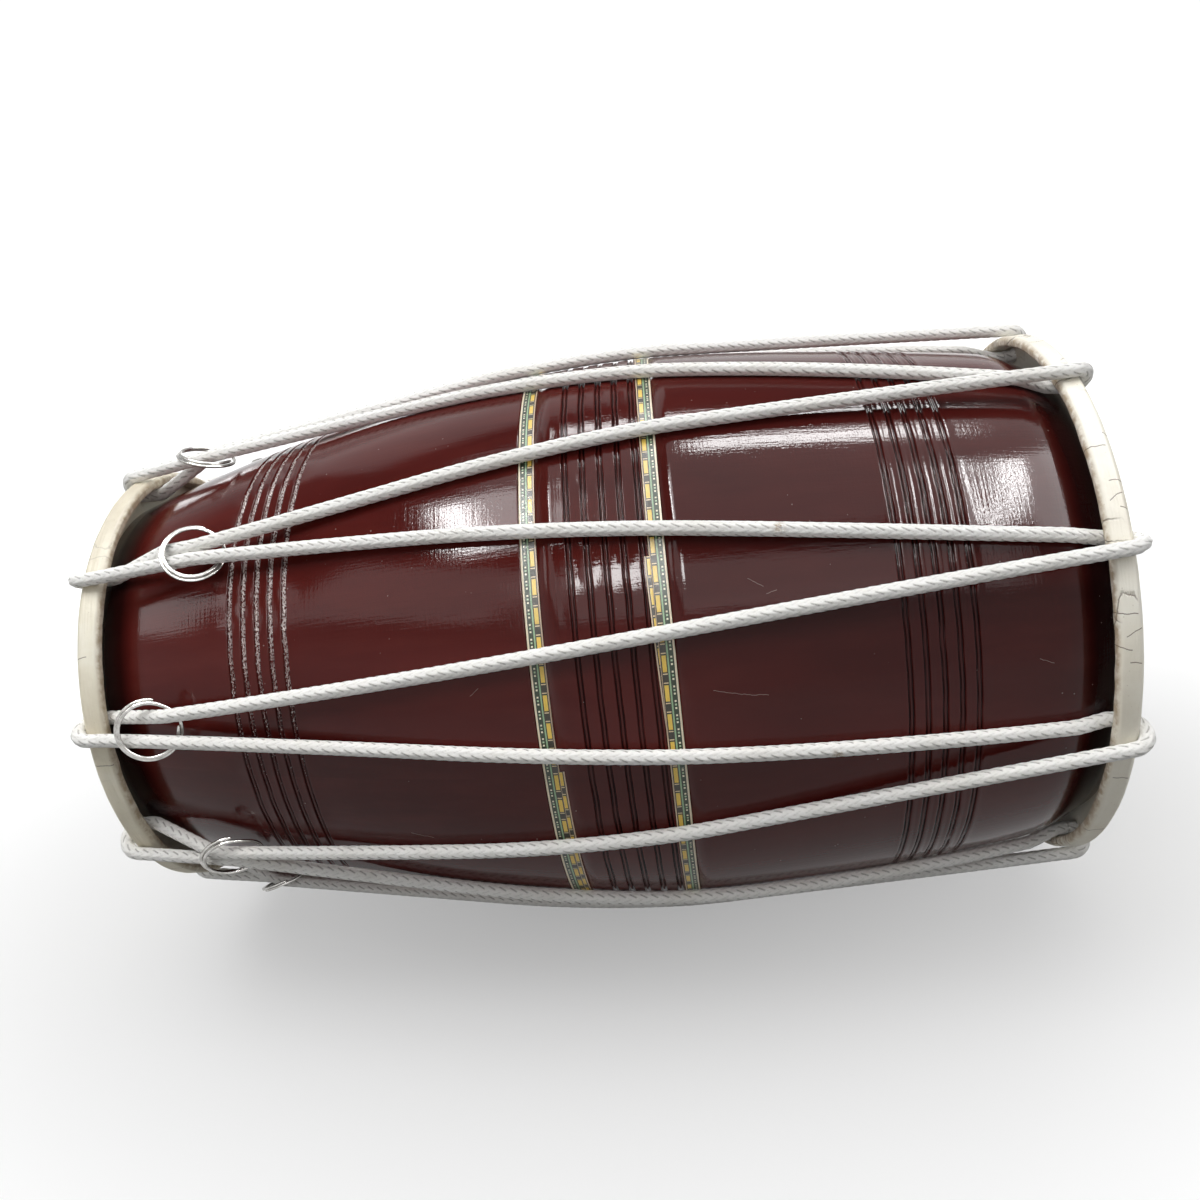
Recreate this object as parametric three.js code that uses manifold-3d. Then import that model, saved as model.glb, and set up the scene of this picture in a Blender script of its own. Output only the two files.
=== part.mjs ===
import * as THREE from "three";
import { mergeVertices } from "three/addons/utils/BufferGeometryUtils.js";
import Module from "manifold-3d";

// A dholak: a two-headed barrel drum laced with rope, lying on its side. Millimetres, +Z up.
// X runs along the drum from the treble head (-X) to the bass head (+X), and -Y is its front.
// Places along the drum are given from the treble rim, and places at a head from that head's rim.
// Angles go round the axis in degrees: 0 points to the front, 90 straight down.

const wasm = await Module();
wasm.setup();

// Driving dimensions
const rimToRim = 457;
const bellyRadius = 139.9;
const bellyPlace = 265;
const shellWall = 14;
const skinThickness = 1;
const ropeRadius = 3;
const fitGap = 0.3;
const headProud = 2;
const segments = 32;

// The barrel narrows from its belly by a power curve to each end, and rounds in at the bass end.
const barrel = {
  trebleDrop: 47.5,
  treblePower: 1.9,
  bassDrop: 20.1,
  bassPower: 1.5,
  shoulderDrop: 8,
  shoulderLength: 25,
  shoulderPower: 1.2,
  stationCount: 12,
  bearingChamfer: 5,
};

// Turned grooves, in three sets of five: place of the first and the last groove of each set.
const groove = {
  width: 2,
  depth: 1.2,
  perSet: 5,
  sets: [
    { first: 75, last: 102.6 },
    { first: 230.7, last: 261.1 },
    { first: 363.6, last: 392 },
  ],
};

const ribbon = { width: 6.8, thickness: 0.3, trebleEdge: 210.5, bassEdge: 270.3 };
const paste = { radius: 45, thickness: 3, edgeThickness: 1, slope: 16 };

// Each head: how far its hoop's flat iron core stands outside the shell's end, the core's thickness,
// and where its rope loops pass over and under it. leadAngle is how far the part of a loop under
// the hoop lies before the part over it.
const hoopWidth = 8;
const trebleHead = {
  side: -1,
  standOff: 13.04,
  coreThickness: 2.7,
  leadAngle: 3.6,
  loopAngles: [-90.2, -49.3, -11.3, 24.1, 65.1, 106, 147, 187.9, 228.8],
};
const bassHead = {
  side: 1,
  standOff: 14.98,
  coreThickness: 2.5,
  leadAngle: 3,
  loopAngles: [-107.2, -69.4, -30.7, 6, 54.8, 94.4, 134, 173.6, 213.2],
};
const lacing = { turnDepth: 2, turnSteps: 6, sides: 6, joinPlace: 44 };

// Two-turn split rings, one on each pair of rope runs. sink is how far a ring's middle lies inside
// the runs' middle line, and spread is how far apart it leaves the two runs, centre to centre.
const ring = {
  outerRadius: 14.5,
  wireWidth: 2.2,
  wireThickness: 1.1,
  turnPitch: 1.55,
  tilt: 26,
  sink: 0.25,
  stepsPerTurn: 16,
  overlapTurns: 1.8,
  crossingTurns: 0.17,
};
const ringSeats = [
  { place: 41, spread: 6.5 },
  { place: 59, spread: 6.5 },
  { place: 35, spread: 10.5 },
  { place: 52, spread: 6.5 },
  { place: 46, spread: 6.5 },
  { place: 56, spread: 6.8 },
  { place: 42, spread: 6.5 },
  { place: 50, spread: 7.2 },
  { place: 45, spread: 6.5 },
];

// Finishes
const lacquer = { color: 0x4a1a1c, roughness: 0.22, metalness: 0 };
const goatSkin = { color: 0xebe6d4, roughness: 0.7, metalness: 0 };
const iron = { color: 0x55524e, roughness: 0.6, metalness: 0.9 };
const cotton = { color: 0xf0eee6, roughness: 0.95, metalness: 0 };
const steel = { color: 0xc9cacc, roughness: 0.25, metalness: 1 };
const tape = { color: 0xc9a54a, roughness: 0.4, metalness: 0 };
const masala = { color: 0x3a2f28, roughness: 0.85, metalness: 0 };

// Derived sizes. A turned piece is a many-sided ring, whose flats lie facetShare of the way out.
const facetShare = Math.cos(Math.PI / segments);
const hoopDepth = 2 * (skinThickness + fitGap) + hoopWidth;
const shellStart = skinThickness + fitGap - headProud;
const shellEnd = rimToRim - shellStart;
const seamDepth = hoopDepth / 2;
for (const head of [trebleHead, bassHead]) {
  head.shellRadius = barrelCurve(head.side < 0 ? shellStart : shellEnd);
  head.coreInner = head.shellRadius + head.standOff;
  head.coreOuter = head.coreInner + head.coreThickness;
  head.lapInner = head.coreInner - fitGap - skinThickness;
  head.outer = head.coreOuter + fitGap + skinThickness;
  head.overRadius = head.outer + fitGap + ropeRadius;
  head.underRadius = head.lapInner * facetShare - fitGap - ropeRadius;
}

const degrees = THREE.MathUtils.degToRad;
const mix = THREE.MathUtils.lerp;

// The point at a place along the drum, a radius and an angle round it
function drumPoint(place, radius, angle) {
  const turn = degrees(angle);
  return new THREE.Vector3(place - rimToRim / 2, -radius * Math.cos(turn), -radius * Math.sin(turn));
}

// The direction round the axis at an angle
function roundwards(angle) {
  const turn = degrees(angle);
  return new THREE.Vector3(0, Math.sin(turn), -Math.cos(turn));
}

// A place along the drum for a depth behind a head's rim
function placeAt(head, depth) {
  return head.side < 0 ? depth : rimToRim - depth;
}

function barrelCurve(place) {
  const towardsTreble = place < bellyPlace;
  const reach = towardsTreble ? bellyPlace : rimToRim - bellyPlace;
  const share = Math.abs(place - bellyPlace) / reach;
  const drop = towardsTreble
    ? barrel.trebleDrop * share ** barrel.treblePower
    : barrel.bassDrop * share ** barrel.bassPower;
  const shoulderShare = Math.max(0, 1 - (rimToRim - place) / barrel.shoulderLength);
  return bellyRadius - drop - barrel.shoulderDrop * shoulderShare ** barrel.shoulderPower;
}

// The shell and the ropes share these stations, so a rope lies evenly along the shell.
function makeStations() {
  const shoulder = rimToRim - barrel.shoulderLength;
  const even = Array.from({ length: barrel.stationCount }, (_, i) => (rimToRim * (i + 1)) / barrel.stationCount);
  const places = even.filter((place) => place < shoulder);
  return [shellStart, ...places, shoulder, rimToRim - hoopDepth, shellEnd];
}
const stations = makeStations();
const stationRadii = stations.map(barrelCurve);

function barrelRadius(place) {
  const i = Math.max(1, stations.findIndex((station) => station >= place));
  const share = (place - stations[i - 1]) / (stations[i] - stations[i - 1]);
  return mix(stationRadii[i - 1], stationRadii[i], share);
}

// Drops what only drawing needs, joins shared corners and leaves out empty faces
function closedMesh(geometry) {
  geometry.deleteAttribute("normal");
  geometry.deleteAttribute("uv");
  const merged = mergeVertices(geometry);
  const faces = [];
  const index = merged.index.array;
  for (let i = 0; i < index.length; i += 3) {
    const [a, b, c] = index.slice(i, i + 3);
    if (a !== b && b !== c && c !== a) faces.push(a, b, c);
  }
  merged.setIndex(faces);
  return merged;
}

// A solid turned about the drum's axis from [place, radius] points
function turned(outline) {
  const points = outline.map(([place, radius]) => new THREE.Vector2(radius, place - rimToRim / 2));
  if (THREE.ShapeUtils.area(points) < 0) points.reverse();
  const onAxis = points[0].x === 0;
  if (!onAxis) points.push(points[0]);
  const geometry = new THREE.LatheGeometry(points, segments);
  geometry.rotateZ(-Math.PI / 2);
  return closedMesh(geometry);
}

// A solid of one outline carried along points. sides holds, for each point, the direction
// that the outline's first axis follows, and its second axis is square to that and the path.
function swept(points, outline, sides) {
  const last = points.length - 1;
  const corners = [];
  points.forEach((point, i) => {
    const arriving = point.clone().sub(points[Math.max(i - 1, 0)]).normalize();
    const leaving = points[Math.min(i + 1, last)].clone().sub(point).normalize();
    const along = arriving.add(leaving).normalize();
    const side = sides[i].clone().addScaledVector(along, -sides[i].dot(along)).normalize();
    const up = new THREE.Vector3().crossVectors(along, side);
    for (const [a, b] of outline) {
      corners.push(...point.clone().addScaledVector(side, a).addScaledVector(up, b));
    }
  });
  const count = outline.length;
  const faces = [];
  for (let i = 0; i < last; i++) {
    for (let j = 0; j < count; j++) {
      const next = (j + 1) % count;
      const [a, b] = [i * count + j, i * count + next];
      faces.push(a, b, b + count, a, b + count, a + count);
    }
  }
  for (let j = 1; j < count - 1; j++) {
    faces.push(0, j + 1, j, last * count, last * count + j, last * count + j + 1);
  }
  const geometry = new THREE.BufferGeometry();
  geometry.setAttribute("position", new THREE.Float32BufferAttribute(corners, 3));
  geometry.setIndex(faces);
  return geometry;
}

function toSolid(geometry) {
  const vertProperties = new Float32Array(geometry.attributes.position.array);
  const triVerts = new Uint32Array(geometry.index.array);
  return new wasm.Manifold(new wasm.Mesh({ numProp: 3, vertProperties, triVerts }));
}

function toGeometry(solid) {
  const mesh = solid.getMesh();
  const geometry = new THREE.BufferGeometry();
  geometry.setAttribute("position", new THREE.Float32BufferAttribute(mesh.vertProperties, 3));
  geometry.setIndex([...mesh.triVerts]);
  return geometry;
}

// Shell
function grooveOutlines() {
  return groove.sets.flatMap(({ first, last }) =>
    Array.from({ length: groove.perSet }, (_, i) => {
      const middle = mix(first, last, i / (groove.perSet - 1));
      const [from, to] = [middle - groove.width / 2, middle + groove.width / 2];
      return [
        [from, barrelRadius(from)],
        [middle, barrelRadius(middle) - groove.depth],
        [to, barrelRadius(to)],
      ];
    }),
  );
}

// The recess that a ribbon lies in, flush with the shell
function recessOutline([ribbonStart, ribbonEnd]) {
  const [from, to] = [ribbonStart - fitGap, ribbonEnd + fitGap];
  const depth = ribbon.thickness + fitGap;
  return [
    [from, barrelRadius(from)],
    [from, barrelRadius(from) - depth],
    [to, barrelRadius(to) - depth],
    [to, barrelRadius(to)],
  ];
}

const trebleRibbonSpan = [ribbon.trebleEdge, ribbon.trebleEdge + ribbon.width];
const bassRibbonSpan = [ribbon.bassEdge - ribbon.width, ribbon.bassEdge];

function makeShell() {
  const cuts = [...grooveOutlines(), recessOutline(trebleRibbonSpan), recessOutline(bassRibbonSpan)];
  const inCut = (place) => cuts.some((cut) => place >= cut[0][0] && place <= cut.at(-1)[0]);
  const plain = stations.filter((place) => !inCut(place)).map((place) => [[place, barrelRadius(place)]]);
  const outside = [...plain, ...cuts].sort((one, other) => one[0][0] - other[0][0]).flat();
  const bore = stations.slice(1, -1).reverse().map((place) => [place, barrelRadius(place) - shellWall]);
  const boreAt = (place) => barrelRadius(place) - shellWall;
  const edge = barrel.bearingChamfer;
  const bassMouth = [
    [shellEnd, boreAt(shellEnd) + edge],
    [shellEnd - edge, boreAt(shellEnd - edge)],
  ];
  const trebleMouth = [
    [shellStart + edge, boreAt(shellStart + edge)],
    [shellStart, boreAt(shellStart) + edge],
  ];
  return turned([...outside, ...bassMouth, ...bore, ...trebleMouth]);
}

function makeRibbon([from, to]) {
  return turned([
    [from, barrelRadius(from)],
    [to, barrelRadius(to)],
    [to, barrelRadius(to) - ribbon.thickness],
    [from, barrelRadius(from) - ribbon.thickness],
  ]);
}

// Heads
function atHead(head, outline) {
  return outline.map(([depth, radius]) => [placeAt(head, depth), radius]);
}

// Rope loop round a rim, as [depth, radius, angle]: a half ellipse from over the hoop to under it
function rimLoop(head, angle, firstShare = 0) {
  const middle = (head.overRadius + head.underRadius) / 2;
  const reach = lacing.turnDepth + ropeRadius + fitGap;
  const steps = Math.round(lacing.turnSteps * (1 - firstShare));
  const loop = Array.from({ length: steps + 1 }, (_, i) => {
    const share = mix(firstShare, 1, i / steps);
    const turn = Math.PI * share;
    const radius = middle + (head.overRadius - middle) * Math.cos(turn);
    return [lacing.turnDepth - reach * Math.sin(turn), radius, angle - head.leadAngle * share];
  });
  return loop;
}

function ropeOutline(radius) {
  return Array.from({ length: lacing.sides }, (_, i) => {
    const turn = (2 * Math.PI * (i + 0.5)) / lacing.sides;
    return [radius * Math.cos(turn), radius * Math.sin(turn)];
  });
}

function ropeAlong(route, radius) {
  const points = route.map(([place, r, angle]) => drumPoint(place, r, angle));
  return swept(points, ropeOutline(radius), route.map(([, , angle]) => roundwards(angle)));
}

// The skin lies flat over the shell's end, slopes down to the rim and is lapped round the hoop.
// Each rope loop passes through a hole in the slope.
function makeSkin(head) {
  const bearing = head.shellRadius + fitGap;
  const edge = skinThickness * 2;
  const foldDepth = hoopDepth - skinThickness;
  const lapOuter = head.lapInner + skinThickness;
  const lapEnd = 2 * (skinThickness + fitGap);
  const skin = turned(atHead(head, [
    [-headProud, 0],
    [-headProud, bearing + fitGap],
    [0, head.lapInner - skinThickness],
    [0, head.outer - edge],
    [edge, head.outer],
    [foldDepth, head.outer],
    [hoopDepth, head.outer - skinThickness],
    [hoopDepth, lapOuter],
    [foldDepth, head.lapInner],
    [lapEnd, head.lapInner],
    [lapEnd, lapOuter],
    [foldDepth, lapOuter],
    [foldDepth, head.outer - skinThickness],
    [skinThickness, head.outer - skinThickness],
    [skinThickness, head.lapInner - fitGap],
    [skinThickness - headProud, bearing],
    [skinThickness - headProud, 0],
  ]));
  const holeEnd = lapEnd - fitGap;
  let cut = toSolid(skin);
  for (const angle of head.loopAngles) {
    const loop = rimLoop(head, angle, 0.5);
    const inside = [holeEnd, head.underRadius, angle - head.leadAngle];
    const route = [...loop, inside].map(([depth, r, a]) => [placeAt(head, depth), r, a]);
    cut = cut.subtract(toSolid(ropeAlong(head.side < 0 ? route : route.reverse(), ropeRadius + fitGap)));
  }
  return toGeometry(cut);
}

function makeHoop(head) {
  const [front, rear] = [skinThickness + fitGap, skinThickness + fitGap + hoopWidth];
  return turned(atHead(head, [
    [front, head.coreInner],
    [rear, head.coreInner],
    [rear, head.coreOuter],
    [front, head.coreOuter],
  ]));
}

function makePaste() {
  const back = shellStart;
  return turned(atHead(bassHead, [
    [back, 0],
    [back, paste.radius],
    [back + paste.edgeThickness, paste.radius],
    [back + paste.thickness, paste.radius - paste.slope],
    [back + paste.thickness, 0],
  ]));
}

// Rope
// The side view of a taut rope through [place, radius] points: it keeps only the outermost ones
function tautOver(points) {
  const taut = [];
  for (const point of points) {
    while (taut.length > 1) {
      const [start, middle] = taut.slice(-2);
      const rise = (middle[0] - start[0]) * (point[1] - start[1]) - (middle[1] - start[1]) * (point[0] - start[0]);
      if (rise < 0) break;
      taut.pop();
    }
    taut.push(point);
  }
  return taut;
}

const onShell = stations.slice(1, -1).map((place) => [place, barrelRadius(place) + fitGap + ropeRadius]);
const overTreble = [lacing.turnDepth, trebleHead.overRadius];
const underTreble = [hoopDepth, trebleHead.underRadius];
const overBass = [rimToRim - lacing.turnDepth, bassHead.overRadius];
const underBass = [rimToRim - hoopDepth, bassHead.underRadius];

// Radius of a pair of runs where its ring gathers them, on the run's straight stretch
const overTrebleView = tautOver([overTreble, ...onShell, underBass]);
function pairRadius(place) {
  const [start, end] = overTrebleView;
  return mix(start[1], end[1], (place - start[0]) / (end[0] - start[0]));
}

// A pair's middle angle, on the line from its treble loop to the middle of its two bass loops
const bassLoop = (i) => bassHead.loopAngles[i % bassHead.loopAngles.length]
  + 360 * Math.floor(i / bassHead.loopAngles.length);
function pairAngle(i, place) {
  const atTreble = trebleHead.loopAngles[i] - trebleHead.leadAngle / 2;
  const atBass = (bassLoop(i) + bassLoop(i + 1) - bassHead.leadAngle) / 2;
  return mix(atTreble, atBass, place / rimToRim);
}

// A run's angle goes evenly from the treble hoop to the ring, and from the ring to the bass hoop
function runAngle(place, atTreble, seat, atRing, atBass) {
  if (place <= hoopDepth) return atTreble;
  if (place <= seat.place) return mix(atTreble, atRing, (place - hoopDepth) / (seat.place - hoopDepth));
  const end = rimToRim - lacing.turnDepth;
  return mix(atRing, atBass, Math.min(1, (place - seat.place) / (end - seat.place)));
}

function withPlace(view, place) {
  const after = view.findIndex(([other]) => other > place);
  const [start, end] = [view[after - 1], view[after]];
  const radius = mix(start[1], end[1], (place - start[0]) / (end[0] - start[0]));
  return [...view.slice(0, after), [place, radius], ...view.slice(after)];
}

// Run from under the treble hoop to over the bass hoop, and round the bass rim
function runToBassRim(i) {
  const seat = ringSeats[i];
  const half = THREE.MathUtils.radToDeg(seat.spread / 2 / pairRadius(seat.place));
  const join = [lacing.joinPlace, pairRadius(lacing.joinPlace)];
  const shellFrom = onShell.filter(([place]) => place > join[0]);
  let view = [[seamDepth + fitGap / 2, underTreble[1]], ...tautOver([underTreble, join, ...shellFrom, overBass])];
  view = withPlace(view, seat.place);
  const [atTreble, atBass] = [trebleHead.loopAngles[i] - trebleHead.leadAngle, bassLoop(i)];
  const atRing = pairAngle(i, seat.place) - half;
  const run = view.map(([place, r]) => [place, r, runAngle(place, atTreble, seat, atRing, atBass)]);
  const loop = rimLoop(bassHead, atBass).slice(1).map(([depth, r, a]) => [rimToRim - depth, r, a]);
  const end = [rimToRim - seamDepth + fitGap / 2, bassHead.underRadius, atBass - bassHead.leadAngle];
  return [...run, ...loop, end];
}

// Run from round the treble rim, over the treble hoop, to under the bass hoop
function runFromTrebleRim(i) {
  const seat = ringSeats[i];
  const half = THREE.MathUtils.radToDeg(seat.spread / 2 / pairRadius(seat.place));
  let view = [...overTrebleView, [rimToRim - seamDepth - fitGap / 2, underBass[1]]];
  view = withPlace(view, seat.place);
  const [atTreble, atBass] = [trebleHead.loopAngles[i], bassLoop(i + 1) - bassHead.leadAngle];
  const atRing = pairAngle(i, seat.place) + half;
  const run = view.map(([place, r]) => [place, r, runAngle(place, atTreble, seat, atRing, atBass)]);
  const loop = rimLoop(trebleHead, atTreble).slice(1).reverse();
  const start = [seamDepth - fitGap / 2, trebleHead.underRadius, atTreble - trebleHead.leadAngle];
  return [start, ...loop, ...run];
}

// Tension rings
// The wire's middle line: a flat first turn, a short climb, and a flat second turn on top of it
function ringWire() {
  const steps = Math.round(ring.overlapTurns * ring.stepsPerTurn);
  const middle = ring.outerRadius - ring.wireWidth / 2;
  return Array.from({ length: steps + 1 }, (_, i) => {
    const turns = (i * ring.overlapTurns) / steps;
    const climb = THREE.MathUtils.smoothstep(turns, 1 - ring.crossingTurns, 1);
    const angle = 2 * Math.PI * turns;
    return new THREE.Vector3(middle * Math.cos(angle), middle * Math.sin(angle), (climb - 0.5) * ring.turnPitch);
  });
}

function leastTurnGap(wire) {
  const halfTurn = ring.stepsPerTurn / 2;
  const distances = wire.flatMap((point, i) => wire.slice(i + halfTurn).map((other) => point.distanceTo(other)));
  return Math.min(...distances) - ring.wireThickness;
}

function makeRing() {
  const wire = ringWire();
  console.log("least gap between a ring's turns, mm:", leastTurnGap(wire).toFixed(2));
  const [across, through] = [ring.wireThickness / 2, ring.wireWidth / 2];
  const section = [[across, through], [-across, through], [-across, -through], [across, -through]];
  const axis = new THREE.Vector3(0, 0, 1);
  return swept(wire, section, wire.map(() => axis));
}

// A ring's place and turn on its pair: the treble side is tipped up over the runs, and the bass
// side passes under them
function seatRing(mesh, i) {
  const { place } = ringSeats[i];
  const [before, here, after] = [place - ring.outerRadius, place, place + ring.outerRadius].map((at) =>
    drumPoint(at, pairRadius(at), pairAngle(i, at)));
  const along = after.clone().sub(before).normalize();
  const round = roundwards(pairAngle(i, place));
  round.addScaledVector(along, -round.dot(along)).normalize();
  const tipped = along.clone().applyAxisAngle(round, -degrees(ring.tilt));
  const normal = new THREE.Vector3().crossVectors(tipped, round);
  mesh.quaternion.setFromRotationMatrix(new THREE.Matrix4().makeBasis(tipped, round, normal));
  const outward = new THREE.Vector3().crossVectors(round, along);
  mesh.position.copy(here).addScaledVector(outward, -ring.sink);
}

// Assembly
const drum = new THREE.Group();
function add(name, geometry, finish) {
  const mesh = new THREE.Mesh(geometry, new THREE.MeshStandardMaterial(finish));
  mesh.name = name;
  drum.add(mesh);
  return mesh;
}

add("shell", makeShell(), lacquer);
add("ribbon_treble_side", makeRibbon(trebleRibbonSpan), tape);
add("ribbon_bass_side", makeRibbon(bassRibbonSpan), tape);
add("treble_skin", makeSkin(trebleHead), goatSkin);
add("bass_skin", makeSkin(bassHead), goatSkin);
add("treble_hoop", makeHoop(trebleHead), iron);
add("bass_hoop", makeHoop(bassHead), iron);
add("bass_tuning_paste", makePaste(), masala);

const ringGeometry = makeRing();
ringSeats.forEach((_, i) => {
  const routes = [runToBassRim(i), runFromTrebleRim(i)];
  routes.forEach((route, j) => {
    const number = String(2 * i + j + 1).padStart(2, "0");
    add(`rope_run_${number}`, ropeAlong(route, ropeRadius), cotton);
  });
  seatRing(add(`tension_ring_${i + 1}`, ringGeometry, steel), i);
});

// The drum is set down on its two lowest rope runs, with its box centred over the origin.
const box = new THREE.Box3().setFromObject(drum, true);
const middle = box.getCenter(new THREE.Vector3());
drum.position.set(-middle.x, -middle.y, -box.min.z);

export default drum;
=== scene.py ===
import math

import bpy
import numpy as np
from mathutils import Matrix, Vector


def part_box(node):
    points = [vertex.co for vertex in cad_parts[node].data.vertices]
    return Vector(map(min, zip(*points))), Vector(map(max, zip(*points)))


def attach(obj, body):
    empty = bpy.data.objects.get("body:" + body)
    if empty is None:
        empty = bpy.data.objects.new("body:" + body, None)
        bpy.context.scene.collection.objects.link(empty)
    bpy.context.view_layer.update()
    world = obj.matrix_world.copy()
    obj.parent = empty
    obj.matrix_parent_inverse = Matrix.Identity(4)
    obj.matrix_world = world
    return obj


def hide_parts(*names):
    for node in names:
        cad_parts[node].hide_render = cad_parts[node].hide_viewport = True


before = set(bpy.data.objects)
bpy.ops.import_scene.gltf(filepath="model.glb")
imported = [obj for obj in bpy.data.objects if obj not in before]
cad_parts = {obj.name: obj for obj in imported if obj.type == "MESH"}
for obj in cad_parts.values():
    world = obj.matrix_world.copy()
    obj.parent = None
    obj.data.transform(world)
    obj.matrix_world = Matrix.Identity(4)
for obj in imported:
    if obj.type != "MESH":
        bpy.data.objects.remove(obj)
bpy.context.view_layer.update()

mm = 0.001

# The drum lies along X, treble head at -X. A place is the distance from the treble rim in mm,
# an angle goes round the axis in degrees: 0 is the front, 90 straight down.
shellLow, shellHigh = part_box("shell")
axisY = (shellLow.y + shellHigh.y) / 2
axisZ = (shellLow.z + shellHigh.z) / 2
rimToRim = 457.0


def stand(thing, place, right, up, back):
    # puts a camera or lamp at a place, its own three axes along the three given ways
    turn = Matrix((right, up, back)).transposed().to_4x4()
    thing.matrix_world = Matrix.Translation(Vector(place)) @ turn
    bpy.context.scene.collection.objects.link(thing)


print("camera")
camera = {
    "place": (0.0462, -0.5042, 0.3817),
    "right": (0.9922, 0.0319, -0.1209),
    "up": (0.0978, 0.4033, 0.9099),
    "lens": 31.09, "sensor": 36,
}
cameraData = bpy.data.cameras.new("camera")
cameraData.lens = camera["lens"]
cameraData.sensor_width = camera["sensor"]
cameraData.clip_start, cameraData.clip_end = 0.01, 50
cameraObject = bpy.data.objects.new("camera", cameraData)
rightWay = Vector(camera["right"]).normalized()
backWay = rightWay.cross(Vector(camera["up"])).normalized()
stand(cameraObject, camera["place"], rightWay, backWay.cross(rightWay), backWay)
bpy.context.scene.camera = cameraObject
bpy.context.scene.view_settings.view_transform = "Standard"


def drumPoints(place, radius, angle):
    # x along the drum, then radius times cosine to the front and radius times sine downwards
    turned = np.radians(angle)
    place, radius, turned = np.broadcast_arrays(place, radius, turned)
    return np.stack(
        [(place - rimToRim / 2) * mm,
         axisY - radius * mm * np.cos(turned),
         axisZ - radius * mm * np.sin(turned)], axis=-1)


def gridMesh(name, points, material, across=None, along=None, wrapRows=False, ends=None, parts=None):
    # points[i, j]: row i along the piece, column j round it. Columns close on themselves,
    # rows do too with wrapRows, and ends are the two pole points that close the first and last row.
    # along and across are the rows' and columns' places in the UV map, parts is each row's material.
    rows, columns = points.shape[:2]
    bands = rows if wrapRows else rows - 1
    i = np.repeat(np.arange(bands), columns)
    j = np.tile(np.arange(columns), bands)
    nextRow, nextColumn = (i + 1) % rows, (j + 1) % columns
    quads = np.stack([i * columns + j, i * columns + nextColumn,
                      nextRow * columns + nextColumn, nextRow * columns + j], axis=-1)
    across = np.linspace(0, 1, columns + 1) if across is None else np.asarray(across)
    along = np.linspace(0, 1, bands + 1) if along is None else np.asarray(along)
    quadUv = np.stack([along[i], across[j], along[i], across[j + 1],
                       along[i + 1], across[j + 1], along[i + 1], across[j]], axis=-1)
    vertices = points.reshape(-1, 3)
    faces, faceUv, sizes = [quads.ravel()], [quadUv.ravel()], [np.full(len(quads), 4)]
    partOf = [np.zeros(len(quads), int) if parts is None else np.asarray(parts)[i]]
    if ends is not None:
        k = np.arange(columns)
        for row, pole, flip in ((0, ends[0], True), (rows - 1, ends[1], False)):
            tip = np.full(columns, len(vertices))
            vertices = np.vstack([vertices, np.asarray(pole, float)[None]])
            one, two = row * columns + k, row * columns + (k + 1) % columns
            faces.append(np.stack([two, one, tip] if flip else [one, two, tip], axis=-1).ravel())
            level = np.full(columns, along[0 if flip else -1])
            first, second = (across[1:], across[:-1]) if flip else (across[:-1], across[1:])
            faceUv.append(np.stack([level, first, level, second, level, first], axis=-1).ravel())
            sizes.append(np.full(columns, 3))
            partOf.append(np.full(columns, partOf[0][0 if flip else -1]))
    loops, uv, sizes, partOf = (np.concatenate(x) for x in (faces, faceUv, sizes, partOf))
    starts = np.concatenate([[0], np.cumsum(sizes)[:-1]])
    corners = vertices[loops]
    fan = np.cross(corners[starts + 1] - corners[starts], corners[starts + 2] - corners[starts])
    quad = sizes == 4
    fan[quad] += np.cross(corners[starts[quad] + 2] - corners[starts[quad]],
                          corners[starts[quad] + 3] - corners[starts[quad]])
    centre = vertices.mean(axis=0)
    if np.einsum("ij,ij->", corners[starts] - centre, fan) < 0:  # turn the faces outwards
        order = np.repeat(2 * starts + sizes - 1, sizes) - np.arange(len(loops))
        loops, uv = loops[order], uv.reshape(-1, 2)[order].ravel()
    mesh = bpy.data.meshes.new(name)
    mesh.vertices.add(len(vertices))
    mesh.vertices.foreach_set("co", vertices.astype(np.float32).ravel())
    mesh.loops.add(len(loops))
    mesh.loops.foreach_set("vertex_index", loops.astype(np.int32))
    mesh.polygons.add(len(sizes))
    mesh.polygons.foreach_set("loop_start", starts.astype(np.int32))
    mesh.polygons.foreach_set("material_index", partOf.astype(np.int32))
    mesh.polygons.foreach_set("use_smooth", np.ones(len(sizes), bool))
    mesh.uv_layers.new(name="surface").data.foreach_set("uv", uv.astype(np.float32))
    mesh.update(calc_edges=True)
    for coat in material if isinstance(material, list) else [material]:
        mesh.materials.append(coat)
    piece = bpy.data.objects.new(name, mesh)
    bpy.context.scene.collection.objects.link(piece)
    return piece


def evenAngles(columns):
    # that many angles in equal steps round the drum, in degrees
    return np.arange(columns) * 360 / columns


def addAttribute(piece, name, values, poles=0):
    # one number for each point of the grid, and the mean of them all for each pole
    values = np.concatenate([np.ravel(values), np.full(poles, np.mean(values))])
    layer = piece.data.attributes.new(name, "FLOAT", "POINT")
    layer.data.foreach_set("value", values.astype(np.float32))


def evenly(line, spacing):
    # the same line with points an even distance apart along it
    steps = np.linalg.norm(np.diff(line, axis=0), axis=1)
    length = np.concatenate([[0], np.cumsum(steps)])
    count = max(2, int(round(length[-1] / spacing)) + 1)
    at = np.linspace(0, length[-1], count)
    return np.stack([np.interp(at, length, line[:, k]) for k in range(line.shape[1])], axis=-1)


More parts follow.
